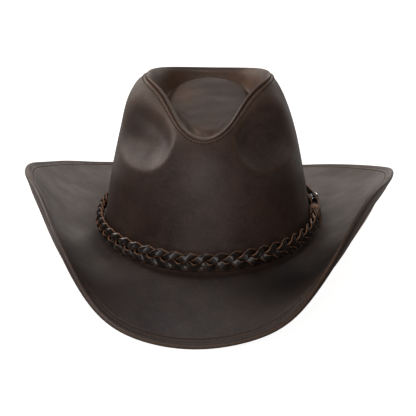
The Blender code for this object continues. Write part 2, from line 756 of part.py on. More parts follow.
def closure_frame():
    """Centre on the crown under the snap, and the snap's three directions."""
    theta = np.array([math.radians(CLOSURE_ANGLE)])
    share = wall_share(theta, BAND_HEIGHT)
    axis = skin_normal(crown_skin, theta, share)[0]
    centre = crown_skin(theta, share)[0]
    along = crown_skin(theta + 1e-3, share)[0] - crown_skin(theta - 1e-3, share)[0]
    along /= np.linalg.norm(along)
    across = np.cross(along, axis)
    return centre, across, along, axis


def punch(target, frame, low, high):
    """Round hole through a tab, along the snap's axis."""
    profile = [(SNAP_HOLE_RADIUS, low), (SNAP_HOLE_RADIUS, high)]
    cutter = turned(target.name + "_cutter", profile, frame, "chrome")
    cutter.hide_render = True
    cutter.display_type = "WIRE"
    cut = target.modifiers.new("hole", "BOOLEAN")
    cut.operation = "DIFFERENCE"
    cut.solver = "EXACT"
    cut.object = cutter
    return cutter


def opening_point():
    """Middle of the outer tab's root, where it bends when the snap is opened."""
    theta = math.radians(OUTER_TAB_ROOT)
    return off_crown(theta, BAND_HEIGHT, OUTER_TAB_OFFSET + TAB_THICK / 2)[0]


def keeper(name, middle):
    """Folded leather loop that holds a braid end to its tab."""
    start = math.radians(middle - KEEPER_LENGTH / 2)
    end = math.radians(middle + KEEPER_LENGTH / 2)
    mid = (KEEPER_INNER + KEEPER_OUTER) / 2
    half_out = (KEEPER_OUTER - KEEPER_INNER) / 2
    loops = []
    for corner in range(KEEPER_CORNERS):
        turn = 2 * math.pi * (corner + 0.5) / KEEPER_CORNERS
        up = signed_power(math.sin(turn), KEEPER_SQUARENESS)
        out = signed_power(math.cos(turn), KEEPER_SQUARENESS)
        loop = []
        for trim, angles in ((0, (start, (start + end) / 2, end)),
                             (KEEPER_WALL, (end, (start + end) / 2, start))):
            for theta in angles:
                height = BAND_HEIGHT + up * (KEEPER_HALF_HEIGHT - trim)
                loop.append(off_crown(theta, height, mid + out * (half_out - trim))[0])
        loops.append(loop)
    loft(name, loops, "braid_leather", "join")


def band():
    """Braided band: three laces, two keepers, two tabs and a press stud."""
    for letter, lead in (("a", 0), ("b", 1 / 3), ("c", 2 / 3)):
        braid_strand("braid_strand_" + letter, lead)
    keeper("band_keeper_back", BRAID_START - KEEPER_PLACE)
    keeper("band_keeper_front", BRAID_END + KEEPER_PLACE)

    frame = closure_frame()
    inner_loops = tab_loops(BRAID_START - INNER_TAB_ROOT, INNER_TAB_END, INNER_TAB_OFFSET)
    inner = loft("band_tab_inner", inner_loops, "braid_leather", "fan")
    punch(inner, frame, INNER_TAB_OFFSET - 1, INNER_TAB_OFFSET + TAB_THICK + 1)

    hinge_point = opening_point()
    pivot = bpy.data.objects.new("closure_pivot", None)
    pivot.location = hinge_point * MM
    bpy.context.scene.collection.objects.link(pivot)
    outer_loops = tab_loops(OUTER_TAB_ROOT, OUTER_TAB_END, OUTER_TAB_OFFSET)
    outer = loft("band_tab_outer", outer_loops, "braid_leather", "fan", origin=hinge_point)
    punch(outer, frame, OUTER_TAB_OFFSET - 1, OUTER_TAB_OFFSET + TAB_THICK + 1)

    post_base = INNER_TAB_OFFSET - SNAP_CLEAR
    stud_base = INNER_TAB_OFFSET + TAB_THICK + SNAP_CLEAR
    post = [(SNAP_POST_RADIUS, post_base - SNAP_POST_THICK),
            (SNAP_POST_RADIUS, post_base),
            (SNAP_STEM_RADIUS, post_base),
            (SNAP_STEM_RADIUS, stud_base + SNAP_NUB_LOW)]
    turned("snap_post", post, frame, "chrome")

    stud_bore = SNAP_STEM_RADIUS + GAP
    stud = [(stud_bore, stud_base),
            (SNAP_STUD_RADIUS, stud_base),
            (SNAP_STUD_RADIUS, stud_base + SNAP_STUD_THICK),
            (SNAP_NUB_RADIUS, stud_base + SNAP_NUB_LOW),
            (SNAP_NUB_RADIUS + SNAP_NUB_SWELL, stud_base + SNAP_NUB_MIDDLE),
            (SNAP_NUB_RADIUS, stud_base + SNAP_NUB_HIGH),
            (stud_bore, stud_base + SNAP_NUB_HIGH)]
    turned("snap_stud", stud, frame, "chrome", "join")

    socket_top = OUTER_TAB_OFFSET - SNAP_CLEAR
    socket_bore = SNAP_NUB_RADIUS + SNAP_NUB_SWELL + 2 * GAP
    socket = [(socket_bore, socket_top - SNAP_SOCKET_THICK),
              (SNAP_SOCKET_RADIUS, socket_top - SNAP_SOCKET_THICK),
              (SNAP_SOCKET_RADIUS, socket_top - SNAP_SOCKET_BEVEL),
              (SNAP_SOCKET_RADIUS - SNAP_SOCKET_BEVEL, socket_top),
              (socket_bore, socket_top)]
    cap_base = OUTER_TAB_OFFSET + TAB_THICK + SNAP_CLEAR
    cap = [(SNAP_STEM_RADIUS, socket_top - SNAP_STEM_END),
           (SNAP_STEM_RADIUS, cap_base),
           (SNAP_CAP_RADIUS, cap_base)]
    cap += dome(SNAP_CAP_RADIUS, SNAP_CAP_RISE, cap_base + SNAP_CAP_EDGE, 4)
    moving = [outer,
              turned("snap_socket", socket, frame, "chrome", "join", origin=hinge_point),
              turned("snap_cap", cap, frame, "chrome", "fan", origin=hinge_point)]
    for piece in moving:
        piece.parent = pivot
        piece.location = (0, 0, 0)


def main():
    clear_scene()
    crown_side_panel()
    crown_top_panel()
    crown_linings()
    crown_threads()
    back_seam_tape()
    brim_upper()
    brim_stiffener()
    brim_underside()
    brim_wire()
    brim_threads()
    sweatband()
    sweatband_reed()
    sweatband_thread()
    sweatband_bow()
    band()


main()
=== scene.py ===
"""Looks of the western hat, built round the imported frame.

Every leather, cloth and metal piece of the frame gets a fine surface here: it
follows the same skin as the frame's solids, with the dents, folds, rolled
edges, stitches and lace of the real hat.  The hat stands with +Z up and the
front of its brim at -Y.  Lengths are in millimetres until a mesh is made.
"""

from math import cos, exp, pi, radians, sin, sqrt

import bmesh
import bpy
import numpy as np
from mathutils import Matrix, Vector


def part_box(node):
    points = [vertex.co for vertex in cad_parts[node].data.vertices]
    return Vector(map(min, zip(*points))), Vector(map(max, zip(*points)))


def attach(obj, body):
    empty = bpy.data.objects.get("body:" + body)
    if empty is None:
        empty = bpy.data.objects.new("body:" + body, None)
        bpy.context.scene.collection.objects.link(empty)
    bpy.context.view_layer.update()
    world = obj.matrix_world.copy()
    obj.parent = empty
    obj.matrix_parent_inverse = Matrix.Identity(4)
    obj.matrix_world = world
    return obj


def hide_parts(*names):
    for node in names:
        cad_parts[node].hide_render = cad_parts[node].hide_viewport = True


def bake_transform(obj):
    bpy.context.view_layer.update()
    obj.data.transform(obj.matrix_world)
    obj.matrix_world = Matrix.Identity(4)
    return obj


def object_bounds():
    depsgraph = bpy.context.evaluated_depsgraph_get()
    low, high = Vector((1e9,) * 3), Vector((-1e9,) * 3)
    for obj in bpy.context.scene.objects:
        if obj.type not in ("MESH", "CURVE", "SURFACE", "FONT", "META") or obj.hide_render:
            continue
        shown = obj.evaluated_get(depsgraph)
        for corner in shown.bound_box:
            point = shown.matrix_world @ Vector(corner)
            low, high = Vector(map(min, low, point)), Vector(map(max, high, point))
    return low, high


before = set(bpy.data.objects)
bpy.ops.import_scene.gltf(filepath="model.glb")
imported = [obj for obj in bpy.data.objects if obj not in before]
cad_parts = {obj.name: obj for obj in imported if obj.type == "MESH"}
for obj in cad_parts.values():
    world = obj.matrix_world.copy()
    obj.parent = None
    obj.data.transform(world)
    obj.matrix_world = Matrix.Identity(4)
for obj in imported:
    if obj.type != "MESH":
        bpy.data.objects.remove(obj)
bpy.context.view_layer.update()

# ---- driving sizes

DESIGN_WIDTH = 174.83  # of the crown wall at the fold
wall_low, wall_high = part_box("crown_side_panel")
MM = (wall_high.x - wall_low.x) / DESIGN_WIDTH  # one design millimetre, in metres

COLUMNS = 360  # facets round a fine sheet

CROWN_WAVE = 0.35  # unevenness of the leather
CROWN_WAVE_LENGTH = 42.0
TIP_WAVE = 0.12
TIP_WAVE_LENGTH = 26.0
BRIM_WAVE = 0.5
BRIM_WAVE_LENGTH = 75.0
HEAD_HALF_WIDTH = 87.5
HEAD_HALF_LENGTH = 107.0
HEAD_SQUARENESS = 2.02

# Values at even steps round the hat, from the centre front to the back.
BRIM_RIM_X = (0, 43, 72.5, 93.5, 110, 127, 143.5, 152.5, 150.5, 132.5, 99.5, 53.5, 0)
BRIM_RIM_Y = (-185, -184, -175, -152, -116, -73, -29.5, 18, 69, 117, 156, 180.5, 189.5)
BRIM_RIM_Z = (-26.7, -19.6, -3.3, 20.5, 39, 51, 51, 42.5, 28, 12.5, -1.5, -11.5, -14.5)
BRIM_START_SLOPE = (-18, -8, -1, 1, -1, -2, -4)
BRIM_END_SLOPE = (-30, -26, -9, 41, 103.5, 110, 70, 50.5, 42, 31, 16, 3.5, -1)
SEAM_X = (0, 20, 35.5, 50.5, 48.5, 33, 0)
SEAM_Y = (-78, -63, -31, -3, 38, 66, 77)
SEAM_Z = (97, 104, 119, 126, 121.2, 115.2, 112.2)
WALL_STRAIGHT = (.49, .49, .35, .6, .55, .4, .5)

BRIM_HANDLE = 0.30  # pull of the curve's two ends, as a share of its reach
# The brim is shaped by hand: on the wearer's left its front is a little higher and nearer.
BRIM_UNEVEN_ANGLE = -60.0
BRIM_UNEVEN_SPREAD = 34.0
BRIM_UNEVEN_LIFT = 2.6
BRIM_UNEVEN_DRAW = 0.009
BRIM_LENGTH = 84.5  # about the mean length of the leather, fold to rim
WALL_SHOULDER = 5.5  # how late the wall turns in to the seam
CROWN_LENGTH = 122.0  # about the mean length of the leather, fold to seam

SHOULDER_ANGLE = 175.0  # the shoulder is fuller on the wearer's right
SHOULDER_SPREAD = 32.0
SHOULDER_HEIGHT = 112.0
SHOULDER_HALF_HEIGHT = 20.0
SHOULDER_PUSH = 3.4
SHOULDER_FADE = 0.05
DENT_ANGLE = 44.0  # deepest place, either side of the centre front
DENT_INNER = 17.0  # degrees from there to the edge by the front ridge
DENT_OUTER = 34.0
DENT_HEIGHT = 89.0
DENT_BELOW = 19.0
DENT_ABOVE = 50.0
DENT_DEPTH = 9.0
DENT_EDGE = 0.16  # rounding of the crisp edge, as a share of the dent
DENT_FADE = 0.16  # share of the wall over which it fades to the seam

# The dished top: distances from the seam, and heights over it or over the head opening.
TIP_BEAD = 0.9  # roll of the top leather beside the seam
TIP_BEAD_MIDDLE = 2.0
TIP_BEAD_HALF = 1.7
TIP_LIP = 0.7
TIP_LIP_FRONT = 0.3
TIP_LIP_REACH = 4.5
TIP_WALL_START = 2.5
TIP_CREASE_PLACE = 13.5  # inward of the seam
TIP_CREASE_HALF = 4.2
TIP_CREASE_FRONT = 1.6  # how far the crease lies under the plateau
TIP_CREASE_BACK = 6.0
PLATEAU_HEIGHT = 101.7  # over the middle of the head
PLATEAU_SLOPE = 0.092
PLATEAU_CROWN = 3.0  # rise of its middle over its sides
PLATEAU_HALF_WIDTH = 30.0

# Layers: their thickness, and the depth of their outer face under the skin.
SEAM_HALF_GAP = 0.2
WALL_ROLL = 0.7  # radius of the wall's turned edge
TIP_ROLL = 1.3
GAP = 0.3
CROWN_THICK = 1.6
BRIM_THICK = 1.1
FLANGE_TOP = CROWN_THICK + GAP
FLANGE_INNER = FLANGE_TOP + BRIM_THICK
UNDERSIDE_TOP = 2.3
UNDERSIDE_THICK = 0.8
HEM_TOP = UNDERSIDE_TOP + UNDERSIDE_THICK + 2 * GAP
HEM_REACH = 8.8
BEAD_RADIUS = (HEM_TOP + BRIM_THICK) / 2
LINING_TOP = 3.4
SWEATBAND_DEPTH = 4.9
SWEATBAND_THICK = 1.1
SWEATBAND_LOW = -1.0
SWEATBAND_HIGH = 34.0
SWEATBAND_STITCH_HEIGHT = 3.2
BRIM_STITCH_INSET = 7.5
SEAM_STITCH_DROP = 2.0
SEAM_LIP = (0.9, 1.6)  # depths at which a turned edge goes into the seam
LINING_THICK = 0.35
RIBBON_THICK = 0.35
BOW_HALF_WIDTH = 9.0
BOW_HEIGHT = 14.0
TAPE_HALF_WIDTH = 9.0
TAPE_TOP = 1.9
TAPE_THICK = 0.7
BOARD_TOP = 1.5
BOARD_THICK = 0.5
WIRE_RADIUS = 0.85
REED_DEPTH = 3.95
REED_RADIUS = 0.65
STITCH_PROUD = 0.12  # how far a thread's middle stands off the leather
SEAM_STITCH = (3.1, 2.2, 0.44)  # pitch, length and radius of the thread
BRIM_STITCH = (3.2, 2.4, 0.33)
SWEATBAND_STITCH = (3.0, 2.2, 0.3)
BACK_STITCH = (2.3, 0.34)  # length and radius
BACK_STITCH_ASIDE = 3.0

# Marks seen from above: middle, reach and strength of each.  The tip's marks are rubbed lighter
# and browner.
# The painted shading marks are painted shade above 0, darker and duller, and painted light below
# 0, polished and paler.
# Wear on the tip, and at (-38, 4) painted light on the dish's inner slope on the wearer's right.
TIP_WEAR_AND_PAINTED_LIGHT = (((-22, 20), (14, 24), 0.9), ((-38, 4), (10, 26), 0.6),
            ((0, -56), (18, 12), 0.5), ((30, 52), (14, 14), 0.4))
# Painted light on the dish's inner slope, on the wearer's right.
TIP_PAINTED_LIGHT = (((-37, 2), (9, 30), -0.9),)
# Painted shade on the upper part of the front dent, on the wearer's right.
WALL_PAINTED_SHADE = (((-66, -40), (17, 22), 0.8),)
WALL_PAINTED_SHADE_LOW = 72.0  # height where the painted shade on the wall fades out
# Painted shade on the brim's front on the wearer's left; painted light on its front on the
# wearer's right and on its side on the wearer's left.
BRIM_PAINTED_SHADING = (((74, -130), (44, 50), 1.0), ((-84, -104), (36, 74), -1.0),
            ((145, 18), (14, 36), -0.8))

# The band: heights above the fold, distances off the crown, angles in degrees.
BAND_HEIGHT = 8.8
BRAID_SWING = 4.25
BRAID_SWELL = 1.75
BRAID_TILT = 27.0
BRAID_STANDOFF = 4.2
STRAND_WIDTH = 6.5
STRAND_THICK = 1.5
BRAID_PERIODS = 15
BRAID_STEPS = 40
BRAID_START = 43.0
BRAID_END = 357.0
CLOSURE_ANGLE = 17.0
TAB_WIDTH = 11.0
TAB_THICK = 1.8
INNER_TAB_OFFSET = 2.0
OUTER_TAB_OFFSET = 7.2
INNER_TAB_END = 9.0
OUTER_TAB_END = 30.0
OUTER_TAB_ROOT = 3.4
KEEPER_LENGTH = 4.6
KEEPER_WALL = 0.7
KEEPER_HALF_HEIGHT = 8.2
KEEPER_INNER = 0.3
KEEPER_OUTER = 8.3

# Outlines of the press stud's parts: radius, and height over the part's own base.
SNAP_CLEAR = GAP + 0.1
POST_OUTLINE = ((3.1, -0.6), (3.4, -0.45), (3.4, -0.1), (3.2, 0), (1.2, 0))
STUD_OUTLINE = ((1.5, 0), (3.4, 0), (3.6, 0.15), (3.55, 0.4), (3.0, 0.55), (2.2, 0.7),
                (1.95, 0.95), (2.15, 1.5), (2.05, 1.85), (1.85, 2.08), (1.5, 2.1))
SOCKET_OUTLINE = ((2.75, -1.4), (3.7, -1.4), (4.0, -1.1), (4.0, -0.4), (3.7, -0.1),
                  (3.5, 0), (2.75, 0))
CAP_OUTLINE = ((1.2, 0), (4.6, 0), (4.8, 0.2), (4.8, 0.45), (4.5, 0.62))
DOME_RADIUS = 4.35
DOME_RISE = 1.9


# ---- curves and skin

def periodic_spline(values, turn):
    """Cubic spline through equally spaced values of a closed curve."""
    values = np.asarray(values, float)
    count = len(values)
    matrix = 4 * np.eye(count) + np.roll(np.eye(count), 1, 0) + np.roll(np.eye(count), -1, 0)
    right = 6 * (np.roll(values, -1) - 2 * values + np.roll(values, 1))
    bend = np.linalg.solve(matrix, right)
    place = np.mod(turn, count)
    i = np.floor(place).astype(int) % count
    j = (i + 1) % count
    f = place - np.floor(place)
    curve = ((1 - f) ** 3 - (1 - f)) * bend[i] / 6 + (f ** 3 - f) * bend[j] / 6
    return values[i] * (1 - f) + values[j] * f + curve


def round_hat(half, theta, odd=False):
    """Value at angle theta from the stations of the wearer's left half."""
    sign = -1 if odd else 1
    full = list(half) + [sign * value for value in half[-2:0:-1]]
    turn = (theta + pi / 2) / (2 * pi) * len(full)
    return periodic_spline(full, turn)


def smooth(t):
    t = np.clip(t, 0, 1)
    return t * t * (3 - 2 * t)


def hill(value, middle, spread):
    """1 at a middle value, falling to 0 on both sides of it."""
    return np.exp(-((value - middle) / spread) ** 2)


def turned_from(theta, middle):
    """Degrees from a direction given in degrees to an angle, -180 to 180."""
    return np.degrees(np.angle(np.exp(1j * (theta - radians(middle)))))


def patches(points, spots):
    """Soft-edged ovals seen from above, each with a middle, a reach and a strength."""
    total = 0.0
    for (x, y), (wide, deep), strength in spots:
        total = total + strength * hill(points[..., 0], x, wide) * hill(points[..., 1], y, deep)
    return total


def signed_power(value, power):
    return np.sign(value) * np.abs(value) ** power


def unit(vectors):
    return vectors / np.linalg.norm(vectors, axis=-1, keepdims=True)


def ripple(points, length, seed):
    """Smooth wandering value, about -1 to 1, that changes over a length."""
    random = np.random.default_rng(seed)
    total = np.zeros(points.shape[:-1])
    for _ in range(7):
        way = unit(random.normal(size=3))
        pace = 2 * pi / length * random.uniform(0.6, 1.5)
        total += np.sin(points @ way * pace + random.uniform(0, 2 * pi))
    return total / 3.2


def fold_line(theta):
    power = 2 / HEAD_SQUARENESS
    x = HEAD_HALF_WIDTH * signed_power(np.cos(theta), power)
    y = HEAD_HALF_LENGTH * signed_power(np.sin(theta), power)
    return x, y


def brim_skin(theta, share):
    """Top of the brim: share 0 at the fold, 1 at the rim."""
    x0, y0 = fold_line(theta)
    uneven = hill(turned_from(theta, BRIM_UNEVEN_ANGLE), 0, BRIM_UNEVEN_SPREAD)
    x1 = round_hat(BRIM_RIM_X, theta, odd=True) * (1 - BRIM_UNEVEN_DRAW * uneven)
    y1 = round_hat(BRIM_RIM_Y, theta) * (1 - BRIM_UNEVEN_DRAW * uneven)
    z1 = round_hat(BRIM_RIM_Z, theta) + BRIM_UNEVEN_LIFT * uneven
    start = np.radians(round_hat(BRIM_START_SLOPE, theta))
    end = np.radians(round_hat(BRIM_END_SLOPE, theta))
    reach = np.hypot(x1 - x0, y1 - y0)
    handle = BRIM_HANDLE * np.hypot(reach, z1)
    weight_a = 3 * (1 - share) ** 2 * share
    weight_b = 3 * (1 - share) * share ** 2
    weight_c = share ** 3
    out = weight_a * handle * np.cos(start)
    out = out + weight_b * (reach - handle * np.cos(end)) + weight_c * reach
    up = weight_a * handle * np.sin(start)
    up = up + weight_b * (z1 - handle * np.sin(end)) + weight_c * z1
    x = x0 + (x1 - x0) / reach * out
    y = y0 + (y1 - y0) / reach * out
    points = np.stack(np.broadcast_arrays(x, y, up), -1)
    points[..., 2] += BRIM_WAVE * ripple(points, BRIM_WAVE_LENGTH, 8) * smooth(share / 0.3)
    return points


def seam_line(theta):
    x = round_hat(SEAM_X, theta, odd=True)
    y = round_hat(SEAM_Y, theta)
    z = round_hat(SEAM_Z, theta)
    return x, y, z


def rounded_ramp(value, edge):
    """Zero below nought, value above it, rounded off over an edge."""
    return 0.5 * (value + np.sqrt(value ** 2 + edge ** 2))


def dent_push(theta, z, share):
    """How far a place of the wall is pushed in, and the direction's angle."""
    pushes = []
    for side in (1, -1):
        middle = -90 + side * DENT_ANGLE
        away = turned_from(theta, middle) * side
        across = np.where(away < 0, away / DENT_INNER, away / DENT_OUTER)
        up = z - DENT_HEIGHT
        along = np.where(up < 0, up / DENT_BELOW, up / DENT_ABOVE)
        radius = np.hypot(across, along) + 1e-6
        crisp = rounded_ramp(1 - radius ** 2, DENT_EDGE) - DENT_EDGE / 8
        soft = smooth(1.25 - radius)
        facing = smooth(0.5 - 0.5 * (across + along) / radius)
        amount = np.clip(crisp, 0, None) * facing + soft * (1 - facing)
        amount = amount * smooth((1 - share) / DENT_FADE)
        pushes.append((radians(middle), DENT_DEPTH * amount))
    return pushes


def crown_skin(theta, share):
    """Outside of the crown wall: share 0 at the fold, 1 at the seam."""
    x0, y0 = fold_line(theta)
    x1, y1, z1 = seam_line(theta)
    z = z1 * share
    straight = round_hat(WALL_STRAIGHT, theta)
    inward = straight * share + (1 - straight) * np.clip(share, 0, None) ** WALL_SHOULDER
    x = x0 + (x1 - x0) * inward
    y = y0 + (y1 - y0) * inward
    for middle, push in dent_push(theta, z, share):
        x = x - cos(middle) * push
        y = y - sin(middle) * push
    push = SHOULDER_PUSH * hill(turned_from(theta, SHOULDER_ANGLE), 0, SHOULDER_SPREAD)
    push = push * hill(z, SHOULDER_HEIGHT, SHOULDER_HALF_HEIGHT)
    push = push * smooth((1 - share) / SHOULDER_FADE)
    x = x + cos(radians(SHOULDER_ANGLE)) * push
    y = y + sin(radians(SHOULDER_ANGLE)) * push
    points = np.stack(np.broadcast_arrays(x, y, z), -1)
    wave = CROWN_WAVE * ripple(points, CROWN_WAVE_LENGTH, 3) * smooth(share / 0.2)
    wave = wave * smooth((1 - share) / 0.08)
    points[..., 0] += wave * np.cos(theta)
    points[..., 1] += wave * np.sin(theta)
    return points


def seam_slant(theta):
    """Share of a step towards the middle that leads straight away from the seam."""
    step = 1e-3
    x1, y1, _ = seam_line(theta)
    x2, y2, _ = seam_line(theta + step)
    along = np.hypot(x2 - x1, y2 - y1)
    cross = np.abs(x1 * (y2 - y1) - y1 * (x2 - x1))
    return cross / (along * np.hypot(x1, y1))


def tip_skin(theta, share):
    """Top panel: share 0 at the seam, 1 at its middle."""
    x1, y1, z1 = seam_line(theta)
    x = x1 * (1 - share)
    y = y1 * (1 - share)
    inward = np.hypot(x1, y1) * share * seam_slant(theta)
    front = np.clip(-np.sin(theta), 0, 1) ** 2
    back = np.clip(np.sin(theta), 0, 1)
    lip = TIP_LIP * (1 - front) + TIP_LIP_FRONT * front
    rise = np.clip(inward / TIP_LIP_REACH, 0, 6)
    rim = z1 + lip * rise * np.exp(1 - rise)
    beside = (inward - TIP_BEAD_MIDDLE) / TIP_BEAD_HALF
    rim = rim + TIP_BEAD * np.clip(1 - beside ** 2, 0, None) ** 0.75
    plateau = PLATEAU_HEIGHT + PLATEAU_SLOPE * y
    plateau = plateau + PLATEAU_CROWN * (1 - (x / PLATEAU_HALF_WIDTH) ** 2)
    depth = TIP_CREASE_FRONT + (TIP_CREASE_BACK - TIP_CREASE_FRONT) * smooth(back + 0.35)
    floor = plateau - depth * hill(inward, TIP_CREASE_PLACE, TIP_CREASE_HALF)
    sink = smooth((inward - TIP_WALL_START) / (TIP_CREASE_PLACE - TIP_WALL_START))
    z = rim * (1 - sink) + floor * sink
    points = np.stack(np.broadcast_arrays(x, y, z), -1)
    points[..., 2] += TIP_WAVE * ripple(points, TIP_WAVE_LENGTH, 5) * smooth(inward / 12)
    return points


def skin_normal(skin, theta, share):
    """Unit normal of a skin, towards the outside of the hat."""
    step = 1e-3
    round_way = skin(theta + step, share) - skin(theta - step, share)
    along_way = skin(theta, share + step) - skin(theta, share - step)
    normal = unit(np.cross(round_way, along_way))
    return -normal if skin is brim_skin else normal


def under(skin, theta, share, depth):
    """Points at a depth below a skin."""
    depth = np.asarray(depth, float)[..., np.newaxis]
    return skin(theta, share) - depth * skin_normal(skin, theta, share)


def all_round(count=COLUMNS):
    return pi / 2 + np.arange(count) * 2 * pi / count


def wall_share(theta, height):
    return height / seam_line(theta)[2]


def arc_angles(line, start, end, count):
    """Angles, in radians, at equal steps of length along a line of the hat."""
    fine = np.linspace(start, end, 2001)
    points = line(fine)
    length = np.append(0, np.cumsum(np.linalg.norm(np.diff(points, axis=0), axis=1)))
    return np.interp(np.linspace(0, length[-1], count), length, fine), length[-1]


# ---- meshes

def add_object(name, data):
    thing = bpy.data.objects.new(name, data)
    bpy.context.scene.collection.objects.link(thing)
    return thing


def add_mesh(name, points, faces, body, nodes, finish, marks=None):
    """Piece of the hat from points in millimetres; marks are values per point."""
    mesh = bpy.data.meshes.new(name)
    mesh.from_pydata((np.asarray(points) * MM).tolist(), [], faces)
    mesh.materials.append(finish)
    for mark, values in (marks or {}).items():
        attribute = mesh.attributes.new(mark, "FLOAT", "POINT")
        attribute.data.foreach_set("value", np.asarray(values, np.float32))
    mesh.shade_smooth()
    piece = add_object(name, mesh)
    if looks_inward(mesh):
        mesh.flip_normals()
    if body:
        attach(piece, body)
    if nodes:
        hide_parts(*nodes)
    return piece


def looks_inward(mesh):
    """Whether the faces of a closed mesh are turned inside out."""
    work = bmesh.new()
    work.from_mesh(mesh)
    volume = work.calc_volume(signed=True)
    work.free()
    return volume < 0


def grid_faces(rows, width, join):
    """Quads between rows of a closed width; join ties the last row to the first."""
    r = np.arange(rows if join else rows - 1)[:, None]
    j = np.arange(width)[None, :]
    k = (j + 1) % width
    n = (r + 1) % rows
    corners = [r * width + j, r * width + k, n * width + k, n * width + j]
    return np.stack([c.ravel() for c in np.broadcast_arrays(*corners)], 1).tolist()


def tube(name, rows, body, nodes, finish, ends="join", marks=None):
    """Closed solid through rings of points: its ends join up, or are closed by fans."""
    rows = np.asarray(rows, float)
    count, width = rows.shape[:2]
    points = rows.reshape(-1, 3)
    faces = grid_faces(count, width, ends == "join")
    marks = {mark: np.asarray(values, float).ravel() for mark, values in (marks or {}).items()}
    if ends == "fan":
        for r in (0, count - 1):
            middle = len(points)
            points = np.vstack([points, rows[r].mean(0)])
            for mark in marks:
                marks[mark] = np.append(marks[mark], marks[mark][r * width])
            for j in range(width):
                this, after = r * width + j, r * width + (j + 1) % width
                faces.append([middle, after, this] if r == 0 else [middle, this, after])
    return add_mesh(name, points, faces, body, nodes, finish, marks)


def bead(centre, sideways, upward, radius, sides):
    """Rings of a round thread or wire along a line of centres."""
    turns = np.arange(sides) * 2 * pi / sides
    ways = np.cos(turns)[None, :, None] * sideways[:, None, :]
    ways = ways + np.sin(turns)[None, :, None] * upward[:, None, :]
    return centre[:, None, :] + radius * ways


def stitches(name, centre, along, normal, length, radius, node, finish):
    """A row of separate stitches, each a short thread bowed into the leather."""
    along, normal = unit(along)[:, None], unit(normal)[:, None]
    side = np.cross(along, normal)
    steps = np.linspace(-1, 1, 7)[:, None]
    middle = centre[:, None] + along * steps * length / 2 - normal * 0.55 * radius * steps ** 4
    turns = np.arange(6)[:, None] * pi / 3
    ways = np.cos(turns) * side + np.sin(turns) * normal
    thick = radius * np.sqrt(np.maximum(1 - np.abs(steps) ** 3, 0.04))
    points = middle[:, :, None] + thick[:, None] * ways[:, None]
    rings, sides = points.shape[1:3]
    faces = []
    for base in range(0, len(centre) * rings * sides, rings * sides):
        faces += [[base + corner for corner in face] for face in grid_faces(rings, sides, False)]
        faces.append([base + k for k in reversed(range(sides))])
        faces.append([base + (rings - 1) * sides + k for k in range(sides)])
    add_mesh(name, points.reshape(-1, 3), faces, "hat", [node], finish)


def stitch_ring(name, skin, share_at, depth, size, node, finish, face=1, spaced=0):
    """Closed row of stitches on a skin; size is their pitch, length and radius.

    Their distances are equal along the line that lies at the depth called spaced.
    """
    pitch, length, radius = size
    theta = stitch_angles(lambda angle: under(skin, angle, share_at(angle), spaced), pitch)
    centre, along, normal = line_frame(skin, theta, share_at(theta), depth)
    stitches(name, centre, along, face * normal, length, radius, node, finish)


def layer(skin, theta, shares, top, thick):
    """Outer and inner face of a layer at a depth under a skin."""
    return under(skin, theta, shares, top), under(skin, theta, shares, top + thick)


def sheet(name, outer, inner, node, finish, closed=True, marks=None):
    """Leather or cloth of the hat between two faces, each given as rows of columns."""
    profile = np.concatenate([outer, inner[::-1]], axis=0)
    rows = np.swapaxes(profile, 0, 1)
    count, width = rows.shape[:2]
    points = rows.reshape(-1, 3)
    faces = grid_faces(count, width, closed)
    if not closed:
        half = width // 2
        for r in (0, count - 1):
            for j in range(half - 1):
                base = r * width
                face = [base + j, base + j + 1, base + width - 2 - j, base + width - 1 - j]
                faces.append(face if r == 0 else face[::-1])
    made = {}
    for mark, (outside, inside) in (marks or {}).items():
        both = np.concatenate([np.broadcast_to(outside, outer.shape[:2]),
                               np.broadcast_to(inside, inner.shape[:2])[::-1]], axis=0)
        made[mark] = np.swapaxes(both, 0, 1).ravel()
    return add_mesh(name, points, faces, "hat", [node], finish, made)


def layer_sheet(name, skin, theta, span, top, thick, node, finish, closed=True):
    """Even sheet under a skin; span is its first share, last share and row count."""
    outer, inner = layer(skin, theta, np.linspace(*span)[:, None] + 0 * theta, top, thick)
    sheet(name, outer, inner, node, finish, closed)


def line_frame(skin, theta, share, depth):
    """Points of a line on a skin, with its direction and the skin's normal."""
    theta = np.asarray(theta, float)
    points = under(skin, theta, share, depth)
    ahead = under(skin, theta + 1e-3, share, depth)
    return points, unit(ahead - points), skin_normal(skin, theta, share)


def stitch_angles(line, pitch):
    """Angles of evenly spaced stitches along a closed line."""
    _, length = arc_angles(line, 0, 2 * pi, 2)
    count = int(round(length / pitch))
    return arc_angles(line, 0, 2 * pi, count + 1)[0][:-1]


# ---- crown

def edge_roll(away, radius):
    """Depth of leather that turns down into a seam, at a distance from it."""
    left = np.clip(SEAM_HALF_GAP + radius - away, 0, radius)
    return radius - np.sqrt(radius ** 2 - left ** 2)


